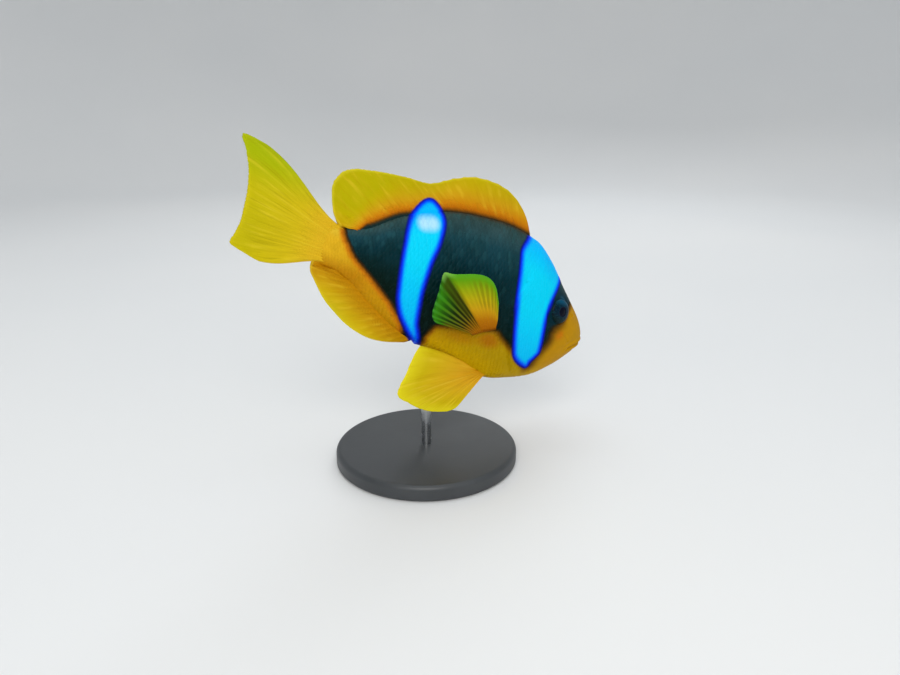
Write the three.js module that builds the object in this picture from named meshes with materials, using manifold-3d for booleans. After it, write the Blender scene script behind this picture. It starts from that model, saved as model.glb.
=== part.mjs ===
// A two-band anemonefish, life size, held head-down on a plain display stand.
// Millimetres, +Z up. The origin is the centre of the base's underside.
//
// The fish is drawn in a frame of its own: "back" is the distance behind a point just ahead
// of the snout, "side" is positive to the fish's left, "up" is positive towards its back.
import * as THREE from 'three';
import { mergeVertices } from 'three/addons/utils/BufferGeometryUtils.js';
import Module from 'manifold-3d';

// ---- driving dimensions -------------------------------------------------------------

const radians = THREE.MathUtils.degToRad;

const PITCH = radians(23.5);                    // the head hangs this far below level
const FRAME_HEIGHT = 34;                        // zero of the fish's frame above the table
const GAP = 0.3;                                // parting between neighbouring pieces
const FAR = 60;                                 // beyond the body in any direction

// Body stations: distance back, back line, belly line, half width.
const BODY = [
  [0.8, -3.2, -3.2, 0.0],
  [2.0, 0.2, -6.6, 2.6],
  [4.6, 3.4, -9.8, 4.4],
  [10.0, 7.8, -15.3, 6.5],
  [16.0, 12.3, -19.8, 7.9],
  [23.0, 17.8, -22.4, 9.1],
  [31.0, 21.9, -24.2, 9.8],
  [42.0, 23.0, -22.6, 9.7],
  [54.0, 21.8, -20.8, 8.7],
  [66.0, 18.8, -17.7, 6.9],
  [76.0, 13.7, -13.2, 5.0],
  [85.0, 7.0, -8.6, 3.3],
  [91.0, 5.1, -7.1, 2.0],
  [95.0, 5.4, -6.9, 0.7],
];
const SNOUT_TIP = 0.8;
const BODY_END = 95;
const WIDEST_LEVEL = 0.51;      // the body is widest at this share of its depth
const BACK_ROUNDNESS = 1.12;    // above 1 the back is a little ridged
const BELLY_ROUNDNESS = 0.9;    // below 1 the belly is full
const BODY_RINGS = 28;
const RING_CROWDING = 1.6;      // above 1 the rings crowd towards the snout
const BODY_SECTORS = 28;

const TAIL_STALK_START = 79;
const GILL_EDGE = [[33.5, 40], [32, 16], [34.8, 3], [33, -9], [25.5, -19], [17, -27], [12, -40]];
const CHEEK_EDGE = [[31, 15], [27.5, 13], [25, 7], [24, -2], [22.5, -11], [17.5, -19], [13, -28]];
const GILL_COVER_THICKNESS = 1.6;
const GILL_COVER_START = 2;     // the covers end this far from the middle of the throat
const JAW = [[-2, -2.7], [6.8, -6.4], [11.5, -13], [12.5, -30], [-2, -30]];

const EYE = { back: 17.4, side: 7.2, up: 3.8, radius: 3.8, bulge: 1.4, depth: 3.6 };
const EYE_FORWARD = 10;         // degrees that the eye's axis turns to the front
const EYE_UPWARD = 12;          // degrees that the eye's axis turns up

// Fins on the midline: rows of base position, ray length and lean from upright in degrees.
const DORSAL_SPINES = [[33.7, 0.8, 20], [34.8, 3.9, 22], [37.4, 8.2, 29], [40.5, 10.6, 33], [45, 11.9, 37],
  [50, 12.6, 44], [54, 11.8, 50], [62, 10.1, 60.5]];
const DORSAL_RAYS = [[62.4, 10, 61], [68, 12.2, 62], [74, 15.6, 63], [79.5, 17.6, 62.5], [82.5, 16.1, 64.5],
  [84.8, 11.3, 74], [86.7, 6, 92], [89.6, 1.5, 100]];
const ANAL_RAYS = [[59, 1.6, 50], [62, 5.3, 52], [66, 8.6, 57], [72, 10.9, 66], [78, 11.3, 73],
  [83, 11, 85], [88, 7.5, 95], [91, 4.1, 92]];
const MIDLINE_FIN_ROOT = 2.2;   // how deep a fin starts below the back or belly line
const MIDLINE_FIN_THICKNESS = { root: 1.7, edge: 0.6 };

// Tail fin, from its lowest ray to its highest: share of the fan, ray length, rise in degrees.
const TAIL_RAYS = [[0, 19.8, -13.8], [0.04, 23.6, -10.5], [0.09, 27.9, -6.8], [0.16, 27.2, -3],
  [0.3, 26.9, 0.4], [0.45, 27.3, 4.1], [0.6, 28, 9.1], [0.75, 30, 15.3], [0.88, 33.5, 20.2],
  [0.94, 36.1, 22.6], [1, 30, 25.8]];
const TAIL_WAIST = { lower: 24, upper: 17 };    // the outermost rays start this much closer, in degrees
const TAIL_FULLNESS = 12;       // and bow outwards by up to a quarter of this many degrees
const TAIL_ROOT = { back: 90.3, up: -0.7, halfHeight: 5.4 };
const TAIL_SWING = 2.5;         // the tail fin's edge swings this far to the fish's right
const TAIL_FIN_THICKNESS = { root: 2.2, edge: 0.6 };

// Paired fins: share of the fan, ray length, rise in degrees, spread from the flank in degrees.
const PECTORAL_RAYS = [[0, 9.1, 58, 18], [0.08, 13.3, 58, 17], [0.16, 16.6, 56, 16], [0.24, 19, 51, 14],
  [0.33, 20.4, 45, 12], [0.42, 21.3, 40, 10], [0.5, 22.4, 35, 7], [0.57, 23.6, 32, 4], [0.64, 22, 28, 4],
  [0.72, 20.2, 22, 6], [0.8, 18.6, 14, 7], [0.88, 17.6, 7, 9], [0.95, 16.1, 3, 10], [1, 14.2, 1, 10]];
const PECTORAL_ROOT = { back: 42.2, up: -9, halfLength: 4.1, tilt: 60, sink: 0.6 };
const PECTORAL_LIFT = 1.3;      // the root lifts the blade this far off the flank
const PECTORAL_THICKNESS = { root: 1.5, edge: 0.6 };
const PELVIC_SPREAD_RAYS = [[0, 10.5, -59, 14], [0.08, 12.7, -59.5, 14], [0.17, 15.4, -55.7, 14],
  [0.28, 17.8, -50, 13.5], [0.4, 20.4, -44.3, 13], [0.52, 22.9, -38.4, 12.5], [0.65, 25.7, -31.5, 12],
  [0.76, 28.7, -24.5, 11], [0.84, 27.6, -19.7, 10.5], [0.9, 25.7, -14, 10], [0.95, 24.3, -5, 9],
  [1, 22.8, 7, 7]];
const PELVIC_FOLDED_RAYS = [[0, 14, -60, 5], [0.4, 19.5, -52, 5], [0.7, 22, -44, 4], [0.9, 21.5, -36, 4],
  [1, 19, -31, 4]];
const PELVIC_BOW = 10;          // the rearmost ray starts this much higher than it ends, in degrees
const PELVIC_ROOT = { back: 33.4, side: 3.2, up: -23.7, halfLength: 1.3, sink: 1.4 };
const PELVIC_THICKNESS = { root: 1.5, edge: 0.6 };

const ROD = { back: 53, radius: 1.5, depth: 9, rootDepth: 3 };
const BASE = { radius: 28, thickness: 5, edgeRadius: 1.5, foot: 0.8 };

// ---- colours ------------------------------------------------------------------------

function material(color, roughness, metalness = 0) {
  return new THREE.MeshStandardMaterial({ color, roughness, metalness });
}

const SKIN_BLACK = material(0x0c1c20, 0.45);
const SKIN_YELLOW = material(0xcf9a10, 0.45);
const FIN_YELLOW = material(0xd6c010, 0.5);
const EYE_DARK = material(0x101418, 0.1);
const BASE_PAINT = material(0x3a3d40, 0.5);
const ROD_STEEL = material(0xb8bcc0, 0.3, 1);

// ---- smooth tables ------------------------------------------------------------------

// A smooth value at x from table rows that start with x, without overshoot between rows.
function smooth(rows, column, x) {
  const last = rows.length - 1;
  if (x <= rows[0][0]) return rows[0][column];
  if (x >= rows[last][0]) return rows[last][column];
  let i = 0;
  while (x > rows[i + 1][0]) i += 1;
  const width = rows[i + 1][0] - rows[i][0];
  const slope = (k) => (rows[k + 1][column] - rows[k][column]) / (rows[k + 1][0] - rows[k][0]);
  const knotSlope = (k) => {
    if (k === 0) return slope(0);
    if (k === last) return slope(last - 1);
    const before = slope(k - 1);
    const after = slope(k);
    return before * after <= 0 ? 0 : (2 * before * after) / (before + after);
  };
  const t = (x - rows[i][0]) / width;
  const a = rows[i][column];
  const b = rows[i + 1][column];
  const startSlope = knotSlope(i) * width;
  const endSlope = knotSlope(i + 1) * width;
  return a + t * (startSlope + t * (3 * (b - a) - 2 * startSlope - endSlope
    + t * (2 * (a - b) + startSlope + endSlope)));
}

// Body stations are smoothed over the root of the distance, which rounds the snout.
const rootOf = (back) => Math.sqrt(Math.max(back - SNOUT_TIP, 0));
const BODY_BY_ROOT = BODY.map(([back, ...rest]) => [rootOf(back), ...rest]);
const backLine = (back) => smooth(BODY_BY_ROOT, 1, rootOf(back));
const bellyLine = (back) => smooth(BODY_BY_ROOT, 2, rootOf(back));
const halfWidth = (back) => smooth(BODY_BY_ROOT, 3, rootOf(back));

const inFish = (back, side, up) => new THREE.Vector3(-back, side, up);

// A point of the body's skin: angle 0 is the back ridge, a half turn is the belly.
function skinPoint(back, angle, grow = 0) {
  const bottom = bellyLine(back);
  const top = backLine(back);
  const level = bottom + WIDEST_LEVEL * (top - bottom);
  const reach = Math.cos(angle) >= 0 ? top - level : level - bottom;
  const roundness = Math.cos(angle) >= 0 ? BACK_ROUNDNESS : BELLY_ROUNDNESS;
  const across = Math.sign(Math.sin(angle)) * Math.abs(Math.sin(angle)) ** roundness;
  const share = (back - SNOUT_TIP) / (BODY_END - SNOUT_TIP);
  return inFish(back + (2 * share - 1) * grow,
    Math.max(halfWidth(back) + grow, 0.05) * across,
    level + Math.max(reach + grow, 0.05) * Math.cos(angle));
}

// ---- closed meshes ------------------------------------------------------------------

function closedGeometry(points, triangles) {
  const geometry = new THREE.BufferGeometry();
  geometry.setAttribute('position', new THREE.Float32BufferAttribute(points.flatMap((p) => p.toArray()), 3));
  geometry.setIndex(triangles.flat());
  return geometry;
}

// The whole body as rings of points between two poles, grown by a few tenths where asked.
function bodyGeometry(grow = 0) {
  const points = [inFish(SNOUT_TIP - grow, 0, BODY[0][1])];
  const triangles = [];
  const ringStart = (ring) => 1 + ring * BODY_SECTORS;
  for (let ring = 0; ring < BODY_RINGS; ring += 1) {
    const share = ((ring + 1) / BODY_RINGS) ** RING_CROWDING;
    const back = SNOUT_TIP + share * (BODY_END - SNOUT_TIP);
    for (let k = 0; k < BODY_SECTORS; k += 1) {
      points.push(skinPoint(back, (2 * Math.PI * k) / BODY_SECTORS, grow));
    }
  }
  const tailPole = points.length;
  points.push(inFish(BODY_END + grow, 0, (backLine(BODY_END) + bellyLine(BODY_END)) / 2));
  for (let k = 0; k < BODY_SECTORS; k += 1) {
    const next = (k + 1) % BODY_SECTORS;
    triangles.push([0, ringStart(0) + next, ringStart(0) + k]);
    for (let ring = 0; ring < BODY_RINGS - 1; ring += 1) {
      const a = ringStart(ring) + k;
      const b = ringStart(ring) + next;
      const c = ringStart(ring + 1) + k;
      const d = ringStart(ring + 1) + next;
      triangles.push([a, b, d], [a, d, c]);
    }
    triangles.push([tailPole, ringStart(BODY_RINGS - 1) + k, ringStart(BODY_RINGS - 1) + next]);
  }
  return closedGeometry(points, triangles);
}

// A thin blade over surface(across, along), thick at its root and thin at its edge.
function bladeGeometry(surface, thickness, columns, rows) {
  const step = 1e-3;
  const points = [];
  for (const face of [1, -1]) {
    for (let i = 0; i <= columns; i += 1) {
      for (let j = 0; j <= rows; j += 1) {
        const u = i / columns;
        const v = j / rows;
        const point = surface(u, v);
        const alongColumn = surface(Math.min(u + step, 1), v).sub(surface(Math.max(u - step, 0), v));
        const alongRow = surface(u, Math.min(v + step, 1)).sub(surface(u, Math.max(v - step, 0)));
        const normal = alongColumn.cross(alongRow).normalize();
        const half = (thickness.root + (thickness.edge - thickness.root) * Math.sqrt(v)) / 2;
        points.push(point.addScaledVector(normal, face * half));
      }
    }
  }
  const faceSize = (columns + 1) * (rows + 1);
  const index = (face, i, j) => face * faceSize + i * (rows + 1) + j;
  const triangles = [];
  const quad = (a, b, c, d) => triangles.push([a, b, c], [a, c, d]);
  for (let i = 0; i < columns; i += 1) {
    for (let j = 0; j < rows; j += 1) {
      quad(index(0, i, j), index(0, i + 1, j), index(0, i + 1, j + 1), index(0, i, j + 1));
      quad(index(1, i, j), index(1, i, j + 1), index(1, i + 1, j + 1), index(1, i + 1, j));
    }
    quad(index(0, i, 0), index(1, i, 0), index(1, i + 1, 0), index(0, i + 1, 0));
    quad(index(0, i, rows), index(0, i + 1, rows), index(1, i + 1, rows), index(1, i, rows));
  }
  for (let j = 0; j < rows; j += 1) {
    quad(index(0, 0, j), index(0, 0, j + 1), index(1, 0, j + 1), index(1, 0, j));
    quad(index(0, columns, j), index(1, columns, j), index(1, columns, j + 1), index(0, columns, j + 1));
  }
  return closedGeometry(points, triangles);
}

// A slab across the fish, or across a part of its width, with an outline of [back, up] points.
function slabGeometry(outline, sideMin = -FAR, sideMax = FAR) {
  const shape = new THREE.Shape(outline.map(([back, up]) => new THREE.Vector2(-back, up)));
  const geometry = new THREE.ExtrudeGeometry(shape, { depth: sideMax - sideMin, bevelEnabled: false });
  geometry.rotateX(Math.PI / 2);
  geometry.translate(0, sideMax, 0);
  return geometry;
}

// A smooth line through [back, up] points, moved back by a few tenths where asked.
function smoothLine(points, moveBack = 0) {
  const curve = new THREE.SplineCurve(points.map(([back, up]) => new THREE.Vector2(back + moveBack, up)));
  return curve.getPoints(4 * (points.length - 1)).map((p) => [p.x, p.y]);
}

// ---- solids and booleans ------------------------------------------------------------

const wasm = await Module();
wasm.setup();

function toSolid(geometry) {
  const bare = geometry.clone();
  bare.deleteAttribute('normal');
  bare.deleteAttribute('uv');
  const merged = mergeVertices(bare, 1e-5);
  return new wasm.Manifold(new wasm.Mesh({
    numProp: 3,
    vertProperties: new Float32Array(merged.attributes.position.array),
    triVerts: new Uint32Array(merged.index.array),
  }));
}

function toMesh(name, solid, meshMaterial) {
  const { vertProperties, triVerts } = solid.getMesh();
  const geometry = new THREE.BufferGeometry();
  geometry.setAttribute('position', new THREE.BufferAttribute(new Float32Array(vertProperties), 3));
  geometry.setIndex(new THREE.BufferAttribute(new Uint32Array(triVerts), 1));
  geometry.computeVertexNormals();
  const mesh = new THREE.Mesh(geometry, meshMaterial);
  mesh.name = name;
  return mesh;
}

const mirrored = (solid) => solid.mirror([0, 1, 0]);

// ---- body pieces --------------------------------------------------------------------

const body = toSolid(bodyGeometry());
const bodyWithGap = toSolid(bodyGeometry(GAP));
const bodyUnderGillCovers = toSolid(bodyGeometry(-GILL_COVER_THICKNESS));
const bodyUnderGillGap = toSolid(bodyGeometry(-GILL_COVER_THICKNESS - GAP));

// The regions that part the body, each moved by a few tenths where a gap is wanted.
function behindGillEdge(moveBack = 0) {
  const end = BODY_END + FAR;
  return toSolid(slabGeometry([...smoothLine(GILL_EDGE, moveBack), [end, -FAR], [end, FAR]]));
}

function behindCheekEdge(moveBack = 0) {
  const edge = smoothLine(CHEEK_EDGE, moveBack);
  const [, top] = edge[0];
  const [, bottom] = edge[edge.length - 1];
  return toSolid(slabGeometry([...edge, [FAR, bottom], [FAR, top]]));
}

function tailStalkRegion(moveBack = 0) {
  const start = TAIL_STALK_START + moveBack;
  const end = BODY_END + FAR;
  return toSolid(slabGeometry([[start, -FAR], [end, -FAR], [end, FAR], [start, FAR]]));
}

function jawRegion(drop = 0) {
  return toSolid(slabGeometry(JAW.map(([back, up]) => [back - drop, up - drop])));
}

function eyeGeometry(grow = 0) {
  const profile = [];
  const steps = 12;
  for (let k = 0; k <= steps; k += 1) {
    const angle = Math.PI * (k / steps) - Math.PI / 2;
    const height = Math.sin(angle) < 0 ? EYE.depth : EYE.bulge;
    profile.push(new THREE.Vector2((EYE.radius + grow) * Math.cos(angle), (height + grow) * Math.sin(angle)));
  }
  profile[0].x = 0;
  profile[steps].x = 0;
  const geometry = new THREE.LatheGeometry(profile, 24);
  geometry.rotateX(Math.PI / 2);
  return geometry;
}

// The eye on the fish's left, its axis turned out, a little forward and a little up.
function leftEye(grow = 0) {
  const gaze = new THREE.Vector3(
    Math.sin(radians(EYE_FORWARD)),
    Math.cos(radians(EYE_FORWARD)),
    Math.sin(radians(EYE_UPWARD)),
  ).normalize();
  const turn = new THREE.Quaternion().setFromUnitVectors(new THREE.Vector3(0, 0, 1), gaze);
  const geometry = eyeGeometry(grow).applyQuaternion(turn);
  geometry.translate(-EYE.back, EYE.side, EYE.up);
  return toSolid(geometry);
}

// The rod stands at the origin and enters the belly, which sets the fish's place.
const rodEntry = inFish(ROD.back, 0, bellyLine(ROD.back)).applyAxisAngle(new THREE.Vector3(0, 1, 0), PITCH);
const framePlace = new THREE.Vector3(-rodEntry.x, 0, FRAME_HEIGHT);
const rodTop = FRAME_HEIGHT + rodEntry.z + ROD.depth;

function rodGeometry(radius, bottom, top) {
  const geometry = new THREE.CylinderGeometry(radius, radius, top - bottom, 24);
  geometry.rotateX(Math.PI / 2);
  geometry.translate(0, 0, (top + bottom) / 2);
  return geometry;
}

function intoFish(geometry) {
  return geometry.clone().translate(-framePlace.x, 0, -framePlace.z).rotateY(-PITCH);
}

function bodyPieces() {
  const headBlock = body.subtract(behindGillEdge());
  const eyeSockets = leftEye(GAP).add(mirrored(leftEye(GAP)));
  const head = headBlock
    .subtract(behindCheekEdge(-GAP).subtract(bodyUnderGillGap))
    .subtract(jawRegion())
    .subtract(eyeSockets);
  const jaw = headBlock.intersect(jawRegion(GAP));
  const square = [[-FAR, -FAR], [FAR, -FAR], [FAR, FAR], [-FAR, FAR]];
  const rightSide = toSolid(slabGeometry(square, -FAR, -GILL_COVER_START));
  const rightCover = headBlock
    .subtract(bodyUnderGillCovers)
    .intersect(behindCheekEdge())
    .intersect(rightSide);
  const behindHead = body.intersect(behindGillEdge(GAP));
  const rodHole = toSolid(intoFish(rodGeometry(ROD.radius + GAP, 0, rodTop + GAP)));
  const trunk = behindHead.subtract(tailStalkRegion()).subtract(rodHole);
  const tailStalk = behindHead.intersect(tailStalkRegion(GAP));
  return [
    toMesh('head', head, SKIN_BLACK),
    toMesh('lower_jaw', jaw, SKIN_YELLOW),
    toMesh('gill_cover_right', rightCover, SKIN_BLACK),
    toMesh('gill_cover_left', mirrored(rightCover), SKIN_BLACK),
    toMesh('trunk', trunk, SKIN_BLACK),
    toMesh('tail_stalk', tailStalk, SKIN_YELLOW),
    toMesh('eye_left', leftEye(), EYE_DARK),
    toMesh('eye_right', mirrored(leftEye()), EYE_DARK),
  ];
}

// ---- fins ---------------------------------------------------------------------------

// A fin along the back (edge 1) or the belly (edge -1), its rays leaning backwards.
function midlineFin(rays, edge, columns) {
  const first = rays[0][0];
  const last = rays[rays.length - 1][0];
  const surface = (across, along) => {
    const back = first + across * (last - first);
    const line = edge > 0 ? backLine(back) : bellyLine(back);
    const reach = along * (smooth(rays, 1, back) + MIDLINE_FIN_ROOT) - MIDLINE_FIN_ROOT;
    const lean = radians(smooth(rays, 2, back));
    return inFish(back + reach * Math.sin(lean), 0, line + edge * reach * Math.cos(lean));
  };
  return toSolid(bladeGeometry(surface, MIDLINE_FIN_THICKNESS, columns, 3));
}

function tailFin() {
  const surface = (across, along) => {
    const off = 2 * across - 1;
    const waist = off < 0 ? TAIL_WAIST.lower : TAIL_WAIST.upper;
    const bend = TAIL_FULLNESS * along * (1 - along) - waist * (1 - along) ** 3;
    const rise = radians(smooth(TAIL_RAYS, 2, across) + off * Math.abs(off) * bend);
    const reach = along * smooth(TAIL_RAYS, 1, across);
    const height = TAIL_ROOT.up + TAIL_ROOT.halfHeight * (2 * across - 1);
    return inFish(TAIL_ROOT.back + reach * Math.cos(rise), -TAIL_SWING * along ** 2,
      height + reach * Math.sin(rise));
  };
  return toSolid(bladeGeometry(surface, TAIL_FIN_THICKNESS, 18, 5));
}

// The end point of a ray that leaves root, rising and spreading to the fish's left.
function rayPoint(root, reach, rise, spread) {
  return root.clone().add(inFish(
    reach * Math.cos(rise) * Math.cos(spread),
    reach * Math.sin(spread),
    reach * Math.sin(rise) * Math.cos(spread),
  ));
}

function leftPectoral() {
  const { back, up, halfLength, tilt, sink } = PECTORAL_ROOT;
  const surface = (across, along) => {
    const drop = halfLength * (2 * across - 1);
    const rootBack = back + drop * Math.sin(radians(tilt));
    const lift = PECTORAL_LIFT * (1 - (1 - along) ** 6) - sink;
    const root = inFish(rootBack, halfWidth(rootBack) + lift, up - drop * Math.cos(radians(tilt)));
    const [length, rise, spread] = [1, 2, 3].map((column) => smooth(PECTORAL_RAYS, column, across));
    return rayPoint(root, along * length, radians(rise), radians(spread));
  };
  return toSolid(bladeGeometry(surface, PECTORAL_THICKNESS, 14, 5));
}

function leftPelvic(rays) {
  const { back, side, up, halfLength, sink } = PELVIC_ROOT;
  const surface = (across, along) => {
    const root = inFish(back + halfLength * (2 * across - 1), side, up + sink);
    const [length, rise, spread] = [1, 2, 3].map((column) => smooth(rays, column, across));
    const bow = PELVIC_BOW * across ** 3 * (1 - along);
    return rayPoint(root, along * (length + sink), radians(rise + bow), radians(spread));
  };
  return toSolid(bladeGeometry(surface, PELVIC_THICKNESS, 14, 5));
}

function fins() {
  const spiny = midlineFin(DORSAL_SPINES, 1, 14);
  const soft = midlineFin(DORSAL_RAYS, 1, 16);
  const anal = midlineFin(ANAL_RAYS, -1, 16);
  const clear = (solid) => solid.subtract(bodyWithGap);
  const tail = clear(tailFin());
  return [
    toMesh('dorsal_fin_spiny', clear(spiny), FIN_YELLOW),
    toMesh('dorsal_fin_soft', clear(soft), FIN_YELLOW),
    toMesh('anal_fin', clear(anal), FIN_YELLOW),
    toMesh('tail_fin', tail, FIN_YELLOW),
    toMesh('pectoral_fin_left', clear(leftPectoral()), FIN_YELLOW),
    toMesh('pectoral_fin_right', clear(mirrored(leftPectoral())), FIN_YELLOW),
    toMesh('pelvic_fin_left', clear(leftPelvic(PELVIC_FOLDED_RAYS)), FIN_YELLOW),
    toMesh('pelvic_fin_right', clear(mirrored(leftPelvic(PELVIC_SPREAD_RAYS))), FIN_YELLOW),
  ];
}

// ---- stand --------------------------------------------------------------------------

function standBase() {
  const { radius, thickness, edgeRadius, foot } = BASE;
  const point = (across, up) => new THREE.Vector2(across, up);
  const profile = [point(0, 0), point(radius - foot, 0), point(radius, foot)];
  const steps = 3;
  for (let k = 0; k <= steps; k += 1) {
    const angle = (Math.PI / 2) * (k / steps);
    profile.push(point(
      radius - edgeRadius * (1 - Math.cos(angle)),
      thickness - edgeRadius * (1 - Math.sin(angle)),
    ));
  }
  profile.push(point(0, thickness));
  const geometry = new THREE.LatheGeometry(profile, 48).rotateX(Math.PI / 2);
  const hole = toSolid(rodGeometry(ROD.radius + GAP, thickness - ROD.rootDepth - GAP, FAR));
  return toMesh('stand_base', toSolid(geometry).subtract(hole), BASE_PAINT);
}

function standRod() {
  const bottom = BASE.thickness - ROD.rootDepth;
  return toMesh('stand_rod', toSolid(rodGeometry(ROD.radius, bottom, rodTop)), ROD_STEEL);
}

// ---- assembly -----------------------------------------------------------------------

const fish = new THREE.Group();
fish.add(...bodyPieces(), ...fins());
fish.rotation.y = PITCH;
fish.position.copy(framePlace);

const model = new THREE.Group();
model.add(fish, standBase(), standRod());

export default model;
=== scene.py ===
"""A life-size two-band anemonefish, held head-down on a plain display stand.

The fish is drawn in millimetres in a frame of its own: "back" is the distance behind a
point just ahead of the snout, "side" is positive to the fish's left, "up" is positive
towards its back. The body and the fins follow the solids, with finer relief; scales lie on
top as solid plates.
"""

import math
from dataclasses import dataclass

import bpy
import numpy as np
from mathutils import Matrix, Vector


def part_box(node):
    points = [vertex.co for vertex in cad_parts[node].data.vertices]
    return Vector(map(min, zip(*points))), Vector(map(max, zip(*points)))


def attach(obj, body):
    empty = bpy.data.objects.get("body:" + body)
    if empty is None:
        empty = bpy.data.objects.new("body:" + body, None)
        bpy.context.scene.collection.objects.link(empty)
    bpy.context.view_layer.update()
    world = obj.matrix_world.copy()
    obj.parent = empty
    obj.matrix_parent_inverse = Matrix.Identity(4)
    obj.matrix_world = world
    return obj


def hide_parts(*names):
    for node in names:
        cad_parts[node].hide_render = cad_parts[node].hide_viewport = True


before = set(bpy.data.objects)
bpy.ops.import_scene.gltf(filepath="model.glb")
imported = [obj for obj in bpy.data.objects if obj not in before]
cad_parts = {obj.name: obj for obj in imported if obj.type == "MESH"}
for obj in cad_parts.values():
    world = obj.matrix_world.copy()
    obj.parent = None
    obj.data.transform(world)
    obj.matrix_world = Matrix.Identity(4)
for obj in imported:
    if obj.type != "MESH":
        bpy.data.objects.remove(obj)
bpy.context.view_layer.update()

# ---- measures of the solids, in millimetres and degrees ------------------------------

MM = 0.001
PITCH = math.radians(23.5)      # the head hangs this far below level

# Body stations: distance back, back line, belly line, half width.
BODY = [
    (0.8, -3.2, -3.2, 0.0), (2.0, 0.2, -6.6, 2.6), (4.6, 3.4, -9.8, 4.4),
    (10.0, 7.8, -15.3, 6.5), (16.0, 12.3, -19.8, 7.9), (23.0, 17.8, -22.4, 9.1),
    (31.0, 21.9, -24.2, 9.8), (42.0, 23.0, -22.6, 9.7), (54.0, 21.8, -20.8, 8.7),
    (66.0, 18.8, -17.7, 6.9), (76.0, 13.7, -13.2, 5.0), (85.0, 7.0, -8.6, 3.3),
    (91.0, 5.1, -7.1, 2.0), (95.0, 5.4, -6.9, 0.7),
]
SNOUT_TIP = 0.8
BODY_END = 95
WIDEST_LEVEL = 0.51
BACK_ROUNDNESS = 1.12
BELLY_ROUNDNESS = 0.9

GILL_EDGE = [(33.5, 40), (32, 16), (34.8, 3), (33, -9), (25.5, -19), (17, -27), (12, -40)]
CHEEK_EDGE = [(31, 15), (27.5, 13), (25, 7), (24, -2), (22.5, -11), (17.5, -19), (13, -28)]
EYE_PLACE = (17.4, 7.2, 3.8)
EYE_RADIUS = 3.8
EYE_BULGE = 1.4
EYE_FORWARD = 10
EYE_UPWARD = 12

# Midline fins: base position, ray length, lean from upright.
DORSAL_RAYS = [
    (33.7, 0.8, 20), (34.8, 3.9, 22), (37.4, 8.2, 29), (40.5, 10.6, 33), (45, 11.9, 37),
    (50, 12.6, 44), (54, 11.8, 50), (62.4, 10, 61), (68, 12.2, 62), (74, 15.6, 63),
    (79.5, 17.6, 62.5), (82.5, 16.1, 64.5), (84.8, 11.3, 74), (86.7, 6, 92),
    (89.6, 1.5, 100),
]
SOFT_DORSAL_START = 62.4
ANAL_RAYS = [
    (59, 1.6, 50), (62, 5.3, 52), (66, 8.6, 57), (72, 10.9, 66), (78, 11.3, 73), (83, 11, 85),
    (88, 7.5, 95), (91, 4.1, 92),
]
MIDLINE_FIN_ROOT = 2.2

# Tail fin: share of the fan from its lowest ray, ray length, rise.
TAIL_RAYS = [
    (0, 19.8, -13.8), (0.04, 23.6, -10.5), (0.09, 27.9, -6.8), (0.16, 27.2, -3), (0.3, 26.9, 0.4),
    (0.45, 27.3, 4.1), (0.6, 28, 9.1), (0.75, 30, 15.3), (0.88, 33.5, 20.2), (0.94, 36.1, 22.6),
    (1, 30, 25.8),
]
TAIL_WAIST_LOWER = 24           # the outermost rays start this much closer together, in degrees
TAIL_WAIST_UPPER = 17
TAIL_FULLNESS = 12              # and bow outwards by up to a quarter of this many degrees
TAIL_ROOT_BACK = 90.3
TAIL_ROOT_UP = -0.7
TAIL_ROOT_HALF_HEIGHT = 5.4
TAIL_SWING = 2.5

# Paired fins: share of the fan, ray length, rise, spread from the flank.
PECTORAL_RAYS = [
    (0, 9.1, 58, 18), (0.08, 13.3, 58, 17), (0.16, 16.6, 56, 16), (0.24, 19, 51, 14),
    (0.33, 20.4, 45, 12), (0.42, 21.3, 40, 10), (0.5, 22.4, 35, 7), (0.57, 23.6, 32, 4),
    (0.64, 22, 28, 4), (0.72, 20.2, 22, 6), (0.8, 18.6, 14, 7), (0.88, 17.6, 7, 9),
    (0.95, 16.1, 3, 10), (1, 14.2, 1, 10),
]
PECTORAL_ROOT = (42.2, -9)
PECTORAL_HALF_ROOT = 4.1
PECTORAL_TILT = math.radians(60)
PECTORAL_LEAN = PECTORAL_HALF_ROOT * np.array([math.sin(PECTORAL_TILT), -math.cos(PECTORAL_TILT)])
PECTORAL_FOOT = np.array([PECTORAL_ROOT - PECTORAL_LEAN, PECTORAL_ROOT + PECTORAL_LEAN])
PECTORAL_SINK = 0.6
PECTORAL_LIFT = 1.3
PELVIC_SPREAD_RAYS = [
    (0, 10.5, -59, 14), (0.08, 12.7, -59.5, 14), (0.17, 15.4, -55.7, 14), (0.28, 17.8, -50, 13.5),
    (0.4, 20.4, -44.3, 13), (0.52, 22.9, -38.4, 12.5), (0.65, 25.7, -31.5, 12),
    (0.76, 28.7, -24.5, 11), (0.84, 27.6, -19.7, 10.5), (0.9, 25.7, -14, 10), (0.95, 24.3, -5, 9),
    (1, 22.8, 7, 7),
]
PELVIC_FOLDED_RAYS = [
    (0, 14, -60, 5), (0.4, 19.5, -52, 5), (0.7, 22, -44, 4), (0.9, 21.5, -36, 4), (1, 19, -31, 4),
]
PELVIC_BOW = 10                 # the rearmost ray starts this much higher than it ends
PELVIC_ROOT = (33.4, 3.2, -23.7)
PELVIC_HALF_ROOT = 1.3
PELVIC_SINK = 1.4
PAIRED_FIN_LENGTH = 22          # roughly, for the thickening at their roots
UNDERSIDE = -15                 # the belly between the pelvic fins and the vent is below this
VENT_BACK = 57.2

ROD_BACK = 53                   # the rod enters the belly here
ROD_DEPTH = 9

# ---- measures of the finer surface ---------------------------------------------------

COAT_DEPTH = 0.25               # the skin lies this far inside the solids

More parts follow.
